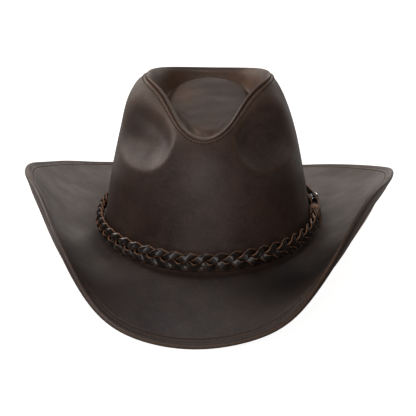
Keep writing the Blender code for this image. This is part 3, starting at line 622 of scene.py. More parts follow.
def crown_wall(finish):
    """The side of the crown: one strip, whose ends meet at the centre back."""
    close = np.array([.25, .4, .6, .9, 1.3, 1.8, 2.5, 3.4, 4.5, 6.0]) / HEAD_HALF_LENGTH
    theta = np.linspace(0.075, 2 * pi - 0.075, COLUMNS)
    theta = pi / 2 + np.concatenate([close, theta, 2 * pi - close[::-1]])
    from_back = np.radians(np.abs(turned_from(theta, 90))) * HEAD_HALF_LENGTH * 0.8
    away = np.concatenate([np.linspace(CROWN_LENGTH, 12, 74), [10, 8.2, 6.6, 5.2, 4.1, 3.2, 2.5],
                           [2.0, 1.6, 1.25, .98, .8, .6, .45, .34, SEAM_HALF_GAP]])[:, None]
    seam_lip = np.array(SEAM_LIP)[:, None]
    share = 1 - away / CROWN_LENGTH
    share = np.broadcast_to(share, (len(away), len(theta)))
    back_roll = edge_roll(np.broadcast_to(from_back, share.shape), WALL_ROLL)
    pucker = 0.10 * hill(away, SEAM_STITCH_DROP, 1.6)
    depth = np.minimum(edge_roll(away, WALL_ROLL) + pucker + back_roll, 2 * WALL_ROLL)
    outer = under(crown_skin, theta, share, depth)
    lip = under(crown_skin, theta, share[-1:], depth[-1:] + seam_lip)
    outer = np.concatenate([outer, lip])
    inner = under(crown_skin, theta, share, CROWN_THICK + 0 * depth)
    tuck = under(crown_skin, theta, share[-1:] - CROWN_THICK / CROWN_LENGTH,
                 depth[-1:] + seam_lip)
    inner[-9:] = under(crown_skin, theta, 1 - (2.4 + 0 * share[-9:]) / CROWN_LENGTH,
                       np.linspace(CROWN_THICK, 2.4, 9)[:, None])
    inner = np.concatenate([inner, tuck])
    rows = np.concatenate([away, [[0.2], [0.2]]])
    rub = wall_rub(theta, rows, outer)
    # Painted shade, darker and duller, on the upper part of the front dent on the wearer's right.
    oil = patches(outer, WALL_PAINTED_SHADE) * smooth((outer[..., 2] - WALL_PAINTED_SHADE_LOW) / 25)
    sheet("crown_wall", outer, inner, "crown_side_panel", finish, closed=False,
          marks={"rub": (rub, 0 * rub), "oil": (oil, 0 * oil)})


def wall_rub(theta, away, points):
    """Where handling has worn the oiled finish of the wall to a lighter brown."""
    seam = 0.7 * np.exp(-np.clip(away - 0.6, 0, None) / 0.8)
    edge = 0.2 * np.exp(-np.clip(away - 1, 0, None) / 9)
    share = 1 - away / CROWN_LENGTH
    bend = 0.0
    for _, push in dent_push(theta, points[..., 2], share):
        rise = push / DENT_DEPTH
        bend = bend + 0.22 * hill(rise, 0.10, 0.12) * (push > 0.02)
    return np.clip(seam + edge + bend, 0, 1)


def crown_tip(finish):
    """The dished top with the rolled edge beside its seam."""
    theta = all_round()
    x1, y1, _ = seam_line(theta)
    radius = np.hypot(x1, y1)
    slant = seam_slant(theta)
    inset = np.array([SEAM_HALF_GAP, .32, .4, .52, .7, .9, 1.2, 1.6, 2.0, 2.5, 3.1, 3.8])
    inset = np.concatenate([inset, np.arange(4.5, 26, 0.75)])
    share = inset[:, None] / (radius * slant)[None, :]
    last = share[-1:]
    steps = np.linspace(0, 1, 34)[1:-1, None]
    share = np.concatenate([share, last + (1 - last) * steps])
    away = share * (radius * slant)[None, :]
    depth = edge_roll(away, TIP_ROLL)
    outer = under(tip_skin, theta, share, depth)
    down = under(tip_skin, theta, share[:1], depth[:1] + np.array([[1.6], [0.9]]))
    inner = under(tip_skin, theta, np.maximum(share, share[:1] + 1.1 / radius), 1.6 + 0 * depth)
    deep = under(tip_skin, theta, share[:1] + 1.1 / radius, depth[:1] + np.array([[1.6], [1.2]]))
    outer = np.concatenate([down, outer])
    inner = np.concatenate([deep, inner])
    rub = 0.45 * hill(away, TIP_BEAD_MIDDLE, 1.8) + 0.45 * hill(away, TIP_CREASE_PLACE, 5)
    slope = 0.4 * smooth((away - 3.5) / 3) * smooth((14 - away) / 6)
    # The patches add wear and, on the dish's inner slope on the wearer's right, painted light.
    rub = np.clip(rub + slope + patches(outer[2:], TIP_WEAR_AND_PAINTED_LIGHT), 0, 1)
    rub = np.concatenate([rub[:1], rub[:1], rub])
    rows = np.concatenate([inner[::-1], outer])
    marks = np.concatenate([0 * rub[::-1], rub])
    # The painted shading mark here is painted light on that same inner slope.
    tube("crown_tip", rows, "hat", ["crown_top_panel"], finish, "fan",
         {"rub": marks, "oil": patches(rows, TIP_PAINTED_LIGHT)})


def crown_stitching(finish):
    """Stitches under the top seam and down both sides of the back seam."""
    share = 1 - SEAM_STITCH_DROP / CROWN_LENGTH
    stitch_ring("seam_stitches", crown_skin, lambda angle: share, -STITCH_PROUD, SEAM_STITCH,
                "crown_seam_thread", finish)
    shares = np.linspace(0.04, 0.965, 37)
    for label, way in (("left", 1), ("right", -1)):
        theta = np.full(len(shares), pi / 2 - way * BACK_STITCH_ASIDE / HEAD_HALF_WIDTH)
        centre = under(crown_skin, theta, shares, -STITCH_PROUD)
        ahead = under(crown_skin, theta, shares + 1e-3, -STITCH_PROUD)
        normal = skin_normal(crown_skin, theta, shares)
        stitches("back_stitches_" + label, centre, ahead - centre, normal, *BACK_STITCH,
                 "back_seam_thread_" + label, finish)


def crown_inside(cloth, tape):
    """Satin lining bag, and the tape under the back seam."""
    theta = all_round(240)
    shares = np.linspace(0.06, 0.955, 46)[:, None] + 0 * theta
    points = crown_skin(theta, shares)
    folds = 0.7 * ripple(points * (1, 1, 0.25), 17, 11) + 0.5 * ripple(points, 9, 12)
    outer, inner = layer(crown_skin, theta, shares, LINING_TOP + 1.0 + folds, LINING_THICK)
    sheet("lining_bag", outer, inner, "lining_side", cloth)
    inset = np.concatenate([[7.0], np.linspace(8.5, 24, 12)])[:, None]
    x1, y1, _ = seam_line(theta)
    shares = inset / (np.hypot(x1, y1) * seam_slant(theta))
    steps = np.linspace(0, 1, 12)[1:-1, None]
    shares = np.concatenate([shares, shares[-1:] + (1 - shares[-1:]) * steps])
    outer, inner = layer(tip_skin, theta, shares, LINING_TOP, LINING_THICK)
    tube("lining_crown", np.concatenate([inner[::-1], outer]), "hat", ["lining_top"], cloth, "fan")
    strip = pi / 2 + np.linspace(-TAPE_HALF_WIDTH, TAPE_HALF_WIDTH, 25) / HEAD_HALF_WIDTH
    layer_sheet("seam_tape", crown_skin, strip, (0.09, 0.9, 40), TAPE_TOP, TAPE_THICK,
                "back_seam_tape", tape, closed=False)


# ---- brim

def rim_frame(theta):
    """Centre line of the rim's bead, with its outward and upward directions."""
    share = 1 - BEAD_RADIUS / BRIM_LENGTH
    normal = skin_normal(brim_skin, theta, share)
    out = unit(brim_skin(theta, share + 1e-3) - brim_skin(theta, share - 1e-3))
    return brim_skin(theta, share) - BEAD_RADIUS * normal, out, normal


def brim_leather(finish):
    """Top leather of the brim, turned up in the crown and hemmed over the rim."""
    theta = all_round()
    centre, out, normal = rim_frame(theta)
    rows, inner_rows, rubs = [], [], []
    for height in (8.0, 4.0, 1.0):
        share = wall_share(theta, height)
        rows.append(under(crown_skin, theta, share, FLANGE_TOP))
        inner_rows.append(under(crown_skin, theta, share, FLANGE_INNER))
        rubs.append(0.0)
    away = np.concatenate([np.linspace(BRIM_LENGTH - 0.3, 14, 52), np.linspace(13.2, 2.6, 17)])
    for inset in away:
        share = 1 - inset / BRIM_LENGTH
        groove = 0.42 * hill(inset, BRIM_STITCH_INSET, 0.75) + 0.38 * hill(inset, 4.6, 1.0)
        rows.append(under(brim_skin, theta, share, groove))
        inner_rows.append(under(brim_skin, theta, share, BRIM_THICK + 0.1))
        rubs.append(0.2 * exp(-max(inset - 2.2, 0) / 0.8)
                    + 0.55 * hill(inset, 6.0, 0.7) + 0.30 * hill(inset, 9.0, 0.9))
    for degrees in range(80, -91, -10):
        angle = radians(degrees)
        way = cos(angle) * out + sin(angle) * normal
        rows.append(centre + BEAD_RADIUS * way)
        inner_rows.append(centre + (BEAD_RADIUS - BRIM_THICK) * way)
        rubs.append(0.12 + 0.6 * hill(degrees, 35, 24))
    for inset in np.linspace(3.2, HEM_REACH, 14):
        share = 1 - inset / BRIM_LENGTH
        groove = 0.35 * hill(inset, BRIM_STITCH_INSET, 0.8)
        rows.append(under(brim_skin, theta, share, HEM_TOP + BRIM_THICK - groove))
        inner_rows.append(under(brim_skin, theta, share, HEM_TOP))
        rubs.append(smooth((inset - 3.8) / 1.6))
    rows, inner_rows = np.array(rows), np.array(inner_rows)
    rub = np.array(rubs)[:, None] * np.ones(len(theta))
    base = np.exp(-np.abs(np.arange(len(rows)) - 3) / 2.5)[:, None] * 0.3
    # Painted shade on the brim's front on the wearer's left; painted light on its front on the
    # wearer's right and its side on the wearer's left.
    oil = patches(rows, BRIM_PAINTED_SHADING)
    sheet("brim_leather", rows, inner_rows, "brim_upper", finish,
          marks={"rub": (np.clip(rub + base, 0, 1), 0 * rub), "oil": (oil, 0 * oil)})


def brim_layers(suede, board, steel):
    """Suede under the brim, the board inside it, and the wire in its rim."""
    theta = all_round()
    layer_sheet("brim_suede", brim_skin, theta, (0.0, 0.94, 64), UNDERSIDE_TOP, UNDERSIDE_THICK,
                "brim_underside", suede)
    layer_sheet("brim_board", brim_skin, theta, (0.03, 0.93, 40), BOARD_TOP, BOARD_THICK,
                "brim_stiffener", board)
    centre, out, normal = rim_frame(theta)
    tube("rim_wire", bead(centre, out, normal, WIRE_RADIUS, 10), "hat", ["brim_wire"], steel)


def brim_stitching(finish):
    """Stitches of the hem, seen on top of the brim and under it."""
    share = 1 - BRIM_STITCH_INSET / BRIM_LENGTH
    for side, depth, face in (("top", 0.22, 1), ("under", HEM_TOP + BRIM_THICK - 0.15, -1)):
        stitch_ring("brim_stitches_" + side, brim_skin, lambda angle: share, depth, BRIM_STITCH,
                    "brim_thread_" + side, finish, face)


# ---- head fittings

def head_band(leather, reed, thread, ribbon):
    """Sweatband with the roll round its reed, its stitches and its bow."""
    theta = all_round(300)
    heights = np.concatenate([[SWEATBAND_LOW, 0.2, 1.2, 2.2, 3.0, 3.8, 5.0],
                              np.linspace(7, SWEATBAND_HIGH - 1, 20), [SWEATBAND_HIGH]])
    shares = wall_share(theta[None, :], heights[:, None])
    shape = shares.shape
    ease = 0.35 * ripple(crown_skin(theta, np.clip(shares, 0, 1)), 38, 21)
    ease = ease * smooth((heights[:, None] - 6) / 15)
    sink = 0.3 * hill(heights[:, None], SWEATBAND_STITCH_HEIGHT, 0.8)
    roll = 0.5 * hill(heights[:, None], 0.6, 1.3)
    depth = SWEATBAND_DEPTH + np.broadcast_to(ease, shape) + np.broadcast_to(roll, shape)
    thick = np.broadcast_to(SWEATBAND_THICK - sink, shape)
    outer = under(crown_skin, theta, np.clip(shares, 0, 1), depth)
    inner = under(crown_skin, theta, np.clip(shares, 0, 1), depth + thick)
    for faces in (outer, inner):
        faces[0, :, 2] = SWEATBAND_LOW
    edge = np.exp(-(SWEATBAND_HIGH - heights[:, None]) / 0.8)
    rub = np.broadcast_to(np.clip(edge + 0.4 * sink / 0.3, 0, 1), shape)
    sheet("sweatband_leather", outer, inner, "sweatband", leather, marks={"rub": (0 * rub, rub)})

    share = wall_share(theta, 1.5)
    centre, along, normal = line_frame(crown_skin, theta, share, REED_DEPTH)
    ring = bead(centre, normal, np.cross(normal, along), REED_RADIUS, 8)
    tube("sweatband_reed_core", ring, "hat", ["sweatband_reed"], reed)
    depth = SWEATBAND_DEPTH + SWEATBAND_THICK - STITCH_PROUD
    stitch_ring("sweatband_stitches", crown_skin,
                lambda angle: wall_share(angle, SWEATBAND_STITCH_HEIGHT), depth,
                SWEATBAND_STITCH, "sweatband_thread", thread, -1, depth)
    bow(ribbon)


def bow(ribbon):
    """Tied bow on the sweatband's join at the centre back."""
    behind = np.array([pi / 2])
    depth = SWEATBAND_DEPTH + SWEATBAND_THICK + 1.5
    middle = under(crown_skin, behind, wall_share(behind, BOW_HEIGHT), depth)[0]
    sections = []
    for turn in np.linspace(0, 2 * pi, 73)[:-1]:
        x = BOW_HALF_WIDTH * sin(turn)
        out = -0.9 * sin(2 * turn) - 0.2
        half = 1.3 + 2.6 * abs(sin(turn)) ** 0.8
        drop = -0.9 * abs(sin(turn))
        flare = 0.35 * sin(5 * turn)
        sag = x * x / (2 * HEAD_HALF_WIDTH)
        ring = []
        for up, face in ((-1, 0), (-0.4, 0), (0.4, 0), (1, 0),
                         (1, 1), (0.4, 1), (-0.4, 1), (-1, 1)):
            back = -out - sag - RIBBON_THICK * face + flare * abs(up) * 0.5
            ring.append(middle + (x, back, drop + up * half))
        sections.append(ring)
    tube("bow_loops", sections, "hat", ["sweatband_bow"], ribbon)
    rings = []
    for turn in np.linspace(0, 2 * pi, 33)[:-1]:
        z = 1.9 * sin(turn)
        out = 1.5 * cos(turn)
        outline = ((-1.5, 0.82), (-1.5, 1.0), (-0.6, 1.12), (0.6, 1.12), (1.5, 1.0), (1.5, 0.82))
        rings.append([middle + (x, -0.2 - out * size, z * size) for x, size in outline])
    tube("bow_knot", rings, "hat", [], ribbon)
    for label, side in (("left", 1), ("right", -1)):
        rows = []
        for step in np.linspace(0, 1, 14):
            x = side * (0.8 + 6.5 * step ** 1.2)
            z = -1.0 - 8.0 * step
            curl = 0.7 * sin(step * 4)
            wide = 1.4 + 1.2 * step
            sag = x * x / (2 * HEAD_HALF_WIDTH)
            ring = []
            for across, face in ((-1, 0), (0, 0), (1, 0), (1, 1), (0, 1), (-1, 1)):
                tip = 1.2 * abs(across) * step ** 6
                ring.append(middle + (x + side * across * wide * 0.8,
                                      0.5 - sag - curl - RIBBON_THICK * face,
                                      z + across * wide * 0.55 - tip))
            rows.append(ring)
        tube("bow_tail_" + label, rows, "hat", [], ribbon, "fan")


# ---- the band

def off_crown(theta, height, distance):
    """Point of the band: height along the wall and distance off the crown."""
    theta = np.asarray(theta, float)
    height = np.asarray(height, float)
    return under(crown_skin, theta, wall_share(theta, height), -np.asarray(distance, float))


def lace_section(points):
    """Outline of a flat lace with worn corners: across, through, cut edge mark."""
    turns = np.arange(points) * 2 * pi / points
    across = signed_power(np.cos(turns), 0.55)
    through = signed_power(np.sin(turns), 0.75)
    cut = smooth((np.abs(np.cos(turns)) - 0.86) / 0.08)
    return across, through, cut


def braid(finish):
    """Three flat laces plaited round the crown."""
    count = BRAID_PERIODS * BRAID_STEPS + 1
    theta, _ = arc_angles(lambda angle: off_crown(angle, BAND_HEIGHT, BRAID_STANDOFF),
                          radians(BRAID_START), radians(BRAID_END), count)
    across, through, cut = lace_section(20)
    for letter, lead in (("a", 0), ("b", 1 / 3), ("c", 2 / 3)):
        turn = 2 * pi * (np.arange(count) / BRAID_STEPS + lead)
        height = BAND_HEIGHT + BRAID_SWING * np.sin(turn)
        distance = BRAID_STANDOFF + BRAID_SWELL * np.sin(2 * turn)
        lean = np.radians(BRAID_TILT) * np.cos(3 * turn)
        wide = across[None, :] * STRAND_WIDTH / 2
        cup = 0.35 * (1 - across[None, :] ** 2)
        thick = through[None, :] * STRAND_THICK / 2 + cup
        slope, level = np.sin(lean)[:, None], np.cos(lean)[:, None]
        rows = off_crown(theta[:, None] + 0 * wide,
                         height[:, None] + wide * level - thick * slope,
                         distance[:, None] + wide * slope + thick * level)
        marks = np.broadcast_to(cut, (count, len(cut)))
        tube("lace_" + letter, rows, "hat_band", ["braid_strand_" + letter], finish, "fan",
             {"cut": marks})


def keeper(name, middle, node, finish):
    """Folded loop of lace that holds a braid end to its tab."""
    half = KEEPER_LENGTH / 2
    centre = (KEEPER_INNER + KEEPER_OUTER) / 2
    half_out = (KEEPER_OUTER - KEEPER_INNER) / 2
    profile = []
    for t in np.linspace(-1, 1, 9):
        profile.append((t, 0.12 * (1 - t ** 2), smooth((abs(t) - 0.62) / 0.25)))
    for t in np.linspace(1, -1, 9):
        profile.append((t, -KEEPER_WALL, smooth((abs(t) - 0.86) / 0.1)))
    rows, marks = [], []
    for degrees in range(0, 360, 6):
        turn = radians(degrees)
        up = signed_power(sin(turn), 0.5)
        out = signed_power(cos(turn), 0.5)
        ring = []
        for t, grow, _ in profile:
            theta = radians(middle + half * t)
            ring.append(off_crown(theta, BAND_HEIGHT + up * (KEEPER_HALF_HEIGHT + grow),
                                  centre + out * (half_out + grow)))
        rows.append(ring)
        fold = 0.9 * smooth((sin(turn) - 0.75) / 0.15)
        marks.append([max(mark, fold) for _, _, mark in profile])
    tube(name, rows, "hat_band", [node], finish, marks={"cut": marks})


def tab_rows(start, end, offset):
    """Cross-sections of a tab with a rounded free end and softened corners."""
    across, through, cut = lace_section(24)
    radius = TAB_WIDTH / 2
    per_degree = radians(1) * (HEAD_HALF_WIDTH + offset)
    reach = abs(end - start)
    fine = radius / per_degree
    steps = np.concatenate([np.linspace(0, reach - fine, 40)[:-1],
                            reach - fine * np.cos(np.linspace(0, pi / 2, 16))[:-1]])
    way = 1 if end > start else -1
    rows, marks = [], []
    for step in steps:
        left = (reach - step) * per_degree
        half = radius if left > radius else sqrt(max(radius ** 2 - (radius - left) ** 2, 0.2))
        theta = radians(start + way * step) + 0 * across
        rows.append(off_crown(theta, BAND_HEIGHT + across * half,
                              offset + TAB_THICK / 2 + through * TAB_THICK / 2))
        marks.append(np.maximum(cut, smooth((1.0 - left) / 1.0)))
    return rows, marks


def snap_frame():
    """Centre on the crown under the snap, and the snap's three directions."""
    theta = np.array([radians(CLOSURE_ANGLE)])
    share = wall_share(theta, BAND_HEIGHT)
    axis = skin_normal(crown_skin, theta, share)[0]
    centre = crown_skin(theta, share)[0]
    along = crown_skin(theta + 1e-3, share)[0] - crown_skin(theta - 1e-3, share)[0]
    along = unit(along)
    return centre, np.cross(along, axis), along, axis


def turned(name, profile, place, body, node, finish, ends="fan"):
    """Solid of revolution about the snap's axis; profile is (radius, height)."""
    centre, across, along, axis = place
    turns = np.arange(48) * 2 * pi / 48
    ring = np.cos(turns)[:, None] * across + np.sin(turns)[:, None] * along
    rows = [centre + height * axis + radius * ring for radius, height in profile]
    tube(name, rows, body, [node], finish, ends)


def raised(outline, base):
    return [(radius, base + height) for radius, height in outline]


def arc(radius, rise, height, steps):
    """Quarter of an oval profile, from its widest place up to the axis."""
    turns = np.linspace(0, pi / 2, steps + 1)[:-1]
    return [(radius * cos(t), height + rise * sin(t)) for t in turns]


def closure(leather, chrome):
    """The two tabs of the band and the press stud that joins them."""
    rows, marks = tab_rows(BRAID_START - 0.8, INNER_TAB_END, INNER_TAB_OFFSET)
    tube("tab_inner", rows, "hat_band", ["band_tab_inner"], leather, "fan", {"cut": marks})
    rows, marks = tab_rows(OUTER_TAB_ROOT - 7, OUTER_TAB_END, OUTER_TAB_OFFSET)
    outer = tube("tab_outer", rows, None, ["band_tab_outer"], leather, "fan", {"cut": marks})
    middle = OUTER_TAB_OFFSET + TAB_THICK / 2
    start = off_crown(radians(OUTER_TAB_ROOT - 1.5), BAND_HEIGHT, middle)
    end = off_crown(radians(OUTER_TAB_ROOT + 1.5), BAND_HEIGHT, middle)
    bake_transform(outer)

    place = snap_frame()
    post_base = INNER_TAB_OFFSET - SNAP_CLEAR
    post_top = INNER_TAB_OFFSET + TAB_THICK + SNAP_CLEAR
    socket_top = OUTER_TAB_OFFSET - SNAP_CLEAR
    cap_base = OUTER_TAB_OFFSET + TAB_THICK + SNAP_CLEAR
    post = raised(POST_OUTLINE, post_base) + [(1.2, post_top + 0.8)]
    cap = [(1.2, socket_top - 0.3)] + raised(CAP_OUTLINE, cap_base)
    cap += arc(DOME_RADIUS, DOME_RISE, cap_base + 0.7, 12)
    socket = raised(SOCKET_OUTLINE, socket_top)
    turned("stud_post", post, place, "hat_band", "snap_post", chrome)
    stud = raised(STUD_OUTLINE, post_top)
    turned("stud_ring", stud, place, "hat_band", "snap_stud", chrome, "join")
    turned("snap_socket_ring", socket, place, "closure_tab", "snap_socket", chrome, "join")
    turned("snap_dome", cap, place, "closure_tab", "snap_cap", chrome)


# ---- materials

class Nodes:
    """Short way to write a procedural material."""

    def __init__(self, name):
        self.material = bpy.data.materials.new(name)
        self.material.use_nodes = True
        self.tree = self.material.node_tree
        self.tree.nodes.clear()
        self.out = self.tree.nodes.new("ShaderNodeOutputMaterial")
        self.bsdf = self.tree.nodes.new("ShaderNodeBsdfPrincipled")
        self.link(self.bsdf.outputs[0], self.out.inputs[0])
        self.place = self.tree.nodes.new("ShaderNodeTexCoord").outputs["Object"]

    def link(self, output, socket):
        self.tree.links.new(output, socket)

    def put(self, socket, value):
        if hasattr(value, "links"):
            self.link(value, socket)
        elif socket.type == "RGBA":
            socket.default_value = (*value, 1)
        else:
            socket.default_value = value

    def fill(self, node, **values):
        """Sets a node's inputs by name; a _ stands for a space."""
        for name, value in values.items():
            self.put(node.inputs[name.replace("_", " ")], value)
        return node

    def add(self, kind, **values):
        return self.fill(self.tree.nodes.new("ShaderNode" + kind), **values)

    def finish(self, **values):
        """Sets the surface's values and gives the finished material."""
        self.fill(self.bsdf, **values)
        return self.material

    def noise(self, size, detail=3.0, rough=0.55, stretch=None, distort=0.0):
        """Wandering value whose features are about size millimetres."""
        place = self.place
        if stretch:
            place = self.add("Mapping", Scale=stretch, Vector=place).outputs[0]
        return self.add("TexNoise", Vector=place, Scale=1 / (size * MM), Detail=detail,
                        Roughness=rough, Distortion=distort).outputs["Fac"]

    def bands(self, size, distort, direction="X"):
        """Parallel waves about size millimetres wide."""
        node = self.add("TexWave", Vector=self.place, Scale=1 / (size * MM), Distortion=distort)
        node.bands_direction = direction
        return node.outputs["Fac"]

    def cells(self, size):
        """Distance to the nearest of many scattered points, for pores."""
        node = self.add("TexVoronoi", Vector=self.place, Scale=1 / (size * MM))
        return node.outputs["Distance"]

    def mark(self, name):
        node = self.add("Attribute")
        node.attribute_name = name
        return node.outputs["Fac"]

    def maths(self, operation, a, b, clamp=False):
        node = self.add("Math")
        node.operation = operation
        node.use_clamp = clamp
        self.put(node.inputs[0], a)
        self.put(node.inputs[1], b)
        return node.outputs[0]

    def span(self, value, low, high, new_low=0.0, new_high=1.0):
        """Moves a range of values smoothly to another range."""
        node = self.add("MapRange")
        node.interpolation_type = "SMOOTHSTEP"
        self.fill(node, Value=value, From_Min=low, From_Max=high, To_Min=new_low, To_Max=new_high)
        return node.outputs[0]

    def mix(self, share, a, b, way="MIX"):
        node = self.add("Mix")
        node.data_type = "RGBA"
        node.blend_type = way
        self.put(node.inputs[0], share)
        self.put(node.inputs[6], a)
        self.put(node.inputs[7], b)
        return node.outputs[2]

    def bump(self, height, distance, strength=1.0, after=None):
        """Relief of a depth in millimetres, laid over another relief."""
        node = self.add("Bump", Strength=strength, Distance=distance * MM, Height=height)
        if after:
            self.link(after, node.inputs["Normal"])
        return node.outputs[0]


def oiled_leather(name, tint):
    """Dark oiled leather, browner where the rub mark says that it is worn and where it holds
    painted light; the painted shading mark paints shade above 0 and light below 0.
    """
    n = Nodes(name)
    cloud = n.span(n.noise(60, 3, 0.55, distort=0.4), 0.36, 0.66)
    patch = n.span(n.noise(14, 5, 0.65, distort=0.6), 0.42, 0.68)
    stain = n.span(n.noise(30, 4, 0.6, distort=0.8), 0.50, 0.70)
    fleck = n.noise(1.9, 4, 0.75)
    colour = n.mix(cloud, (0.024, 0.0145, 0.0112), (0.046, 0.0280, 0.0212))
    colour = n.mix(n.maths("MULTIPLY", patch, 0.42), colour, (0.084, 0.0455, 0.0270))
    colour = n.mix(n.maths("MULTIPLY", stain, 0.5), colour, (0.017, 0.0105, 0.0085))
    colour = n.mix(n.span(fleck, 0.36, 0.68, 0.0, 0.42), colour, (0.088, 0.056, 0.039))
    worn_and_painted_light = n.maths("MULTIPLY", n.mark("rub"), n.span(n.noise(5, 4, 0.65), 0.25, 0.62, 0.45, 1.0))
    rough = n.span(n.noise(22, 3, 0.6), 0.3, 0.7, 0.46, 0.58)
    pores = n.bump(n.cells(0.85), 0.12, 0.5)
    creases = n.bump(n.noise(2.6, 5, 0.62), 0.26, 0.45, pores)
    lumps = n.bump(n.noise(16, 2, 0.5), 0.5, 0.35, creases)
    # Painted shading: above 0 painted shade, darker and duller; below 0 painted light, paler and
    # more polished.
    oil = n.mark("oil")
    colour = n.mix(n.maths("MULTIPLY", oil, 0.85, clamp=True), colour, (0.007, 0.0045, 0.0040))
    colour = n.mix(n.maths("MULTIPLY", oil, -0.6, clamp=True), colour, (0.085, 0.066, 0.058))
    rough = n.maths("ADD", rough, n.maths("MULTIPLY", oil, 0.16))
    shine = n.maths("SUBTRACT", 0.55, n.maths("MULTIPLY", oil, 0.42))
    colour = n.mix(1.0, colour, tint, "MULTIPLY")
    # Wear, and on the tip's inner slope painted light, rubbed lighter and browner.
    colour = n.mix(n.maths("MULTIPLY", worn_and_painted_light, 0.75), colour, (0.170, 0.086, 0.042))
    return n.finish(Base_Color=colour, Roughness=rough, Normal=lumps,
                    Coat_Weight=0.06, Coat_Roughness=0.35, Specular_IOR_Level=shine)


def braid_leather():
    """Black lace with polished faces and raw tan cut edges."""
    n = Nodes("braid_leather")
    cloud = n.span(n.noise(7, 3), 0.35, 0.7)
    colour = n.mix(cloud, (0.017, 0.0125, 0.0105), (0.030, 0.0220, 0.0185))
    raw = n.mix(n.noise(1.4, 4, 0.7), (0.22, 0.084, 0.032), (0.42, 0.185, 0.080))
    share = n.maths("MULTIPLY", n.mark("cut"), n.span(n.noise(2.2, 3, 0.6), 0.28, 0.5, 0.55, 1.0))
    creases = n.bump(n.noise(4.5, 3), 0.25, 0.3)
    return n.finish(Base_Color=n.mix(share, colour, raw),
                    Roughness=n.mix(share, (0.26, 0.26, 0.26), (0.75, 0.75, 0.75)),
                    Normal=n.bump(n.noise(0.8, 4, 0.6), 0.08, 0.35, creases),
                    Specular_IOR_Level=0.6)


def suede():
    """Rust-brown napped underside."""
    n = Nodes("suede")
    nap = n.noise(1.1, 5, 0.72)
    cloud = n.span(n.noise(24, 4, 0.6, distort=0.5), 0.35, 0.68)
    colour = n.mix(cloud, (0.085, 0.030, 0.0125), (0.165, 0.062, 0.026))
    colour = n.mix(n.maths("MULTIPLY", n.span(nap, 0.4, 0.75), 0.6), colour, (0.27, 0.125, 0.062))
    fibres = n.bump(nap, 0.35, 0.8, n.bump(n.noise(0.35, 2, 0.6), 0.1, 0.5))
    return n.finish(Base_Color=colour, Roughness=0.95, Normal=fibres, Sheen_Weight=0.35,
                    Sheen_Roughness=0.45)


def sweat_leather():
    """Smooth brown leather against the head."""
    n = Nodes("sweatband_leather")
    colour = n.mix(n.span(n.noise(25, 3), 0.35, 0.7), (0.10, 0.048, 0.024), (0.155, 0.080, 0.042))
    colour = n.mix(n.maths("MULTIPLY", n.mark("rub"), 0.6), colour, (0.045, 0.022, 0.012))
    return n.finish(Base_Color=colour, Roughness=n.span(n.noise(9, 3), 0.3, 0.7, 0.42, 0.58),
                    Normal=n.bump(n.cells(0.6), 0.07, 0.4, n.bump(n.noise(3, 4), 0.15, 0.3)))


def satin():
    """Dark brown satin of the lining and the bow."""
    n = Nodes("lining_cloth")
    weave = n.bands(0.5, 1.5)
    colour = n.mix(n.noise(12, 3), (0.045, 0.026, 0.018), (0.085, 0.050, 0.034))
    return n.finish(Base_Color=colour, Roughness=0.36, Anisotropic=0.5,
                    Normal=n.bump(weave, 0.03, 0.25, n.bump(n.noise(3.5, 3), 0.3, 0.4)))


def board():
    """Grey pressed fibre board inside the brim."""
    n = Nodes("stiffener_board")
    colour = n.mix(n.noise(2.2, 5, 0.7), (0.20, 0.19, 0.17), (0.34, 0.32, 0.29))
    return n.finish(Base_Color=colour, Roughness=0.85,
                    Normal=n.bump(n.noise(0.9, 4, 0.7), 0.15, 0.5))


def waxed_thread():
    """Dark waxed thread with a visible twist."""
    n = Nodes("thread")
    twist = n.bands(1.6, 2.0, "DIAGONAL")
    colour = n.mix(twist, (0.012, 0.008, 0.006), (0.042, 0.026, 0.018))
    return n.finish(Base_Color=colour, Roughness=0.5, Normal=n.bump(twist, 0.08, 0.6))


def metal(name, colour, rough):
    """Metal with fine polishing marks and light wear."""
    n = Nodes(name)
    marks = n.noise(1.5, 4, 0.7, stretch=(1, 1, 9))
    return n.finish(Base_Color=n.mix(n.noise(2, 3), colour, tuple(0.8 * c for c in colour)),
                    Metallic=1.0, Roughness=n.span(marks, 0.35, 0.7, rough, rough + 0.14),
                    Normal=n.bump(marks, 0.02, 0.2))


def reed_plastic():
    """Milky plastic reed inside the sweatband's edge."""
    n = Nodes("reed_plastic")
    colour = n.mix(n.noise(6, 3), (0.55, 0.53, 0.48), (0.70, 0.68, 0.62))
    return n.finish(Base_Color=colour, Roughness=0.4, Normal=n.bump(n.noise(1.2, 3), 0.03, 0.3))


def floor_finish():
    """Plain pale floor that glows to the camera, and less to the hat."""
    n = Nodes("studio_floor")
    colour = n.mix(n.noise(300, 2), (0.50, 0.50, 0.50), (0.52, 0.52, 0.52))
    glow = n.span(n.add("LightPath").outputs["Is Camera Ray"], 0, 1, FLOOR_SHEEN, FLOOR_GLOW)
    return n.finish(Base_Color=colour, Roughness=0.9, Emission_Color=(1.0, 1.0, 1.0),
                    Emission_Strength=glow)


# ---- studio

FLOOR_GLOW = 0.93  # towards the camera
FLOOR_SHEEN = 0.14  # towards the hat
ROOM_LIGHT = 0.02
LIGHT_DISTANCE = 1500.0
LIGHT_AIM_HEIGHT = 60.0
CAMERA_DISTANCE = 1200.0
CAMERA_TURN = 2.5  # degrees towards the wearer's left
CAMERA_HEIGHT_ANGLE = 19.8
CAMERA_LENS = 124.6
CAMERA_TARGET_HEIGHT = 40.0
CAMERA_AIM_BELOW = 26.0  # along the camera's own up direction
FLOOR_HALF_WIDTH = 30.0  # metres, past everything the camera can see


def direction(azimuth, elevation):
    """Unit vector at angles in degrees: azimuth 0 is the wearer's left, 90 the back."""
    turn, rise = radians(azimuth), radians(elevation)
    flat = cos(rise)
    return Vector((cos(turn) * flat, sin(turn) * flat, sin(rise)))


def aimed(thing, place, aim):
    """Puts a light or the camera at a place in millimetres, facing another."""
    thing.location = place * MM
    thing.rotation_euler = (aim - place).to_track_quat("-Z", "Y").to_euler()


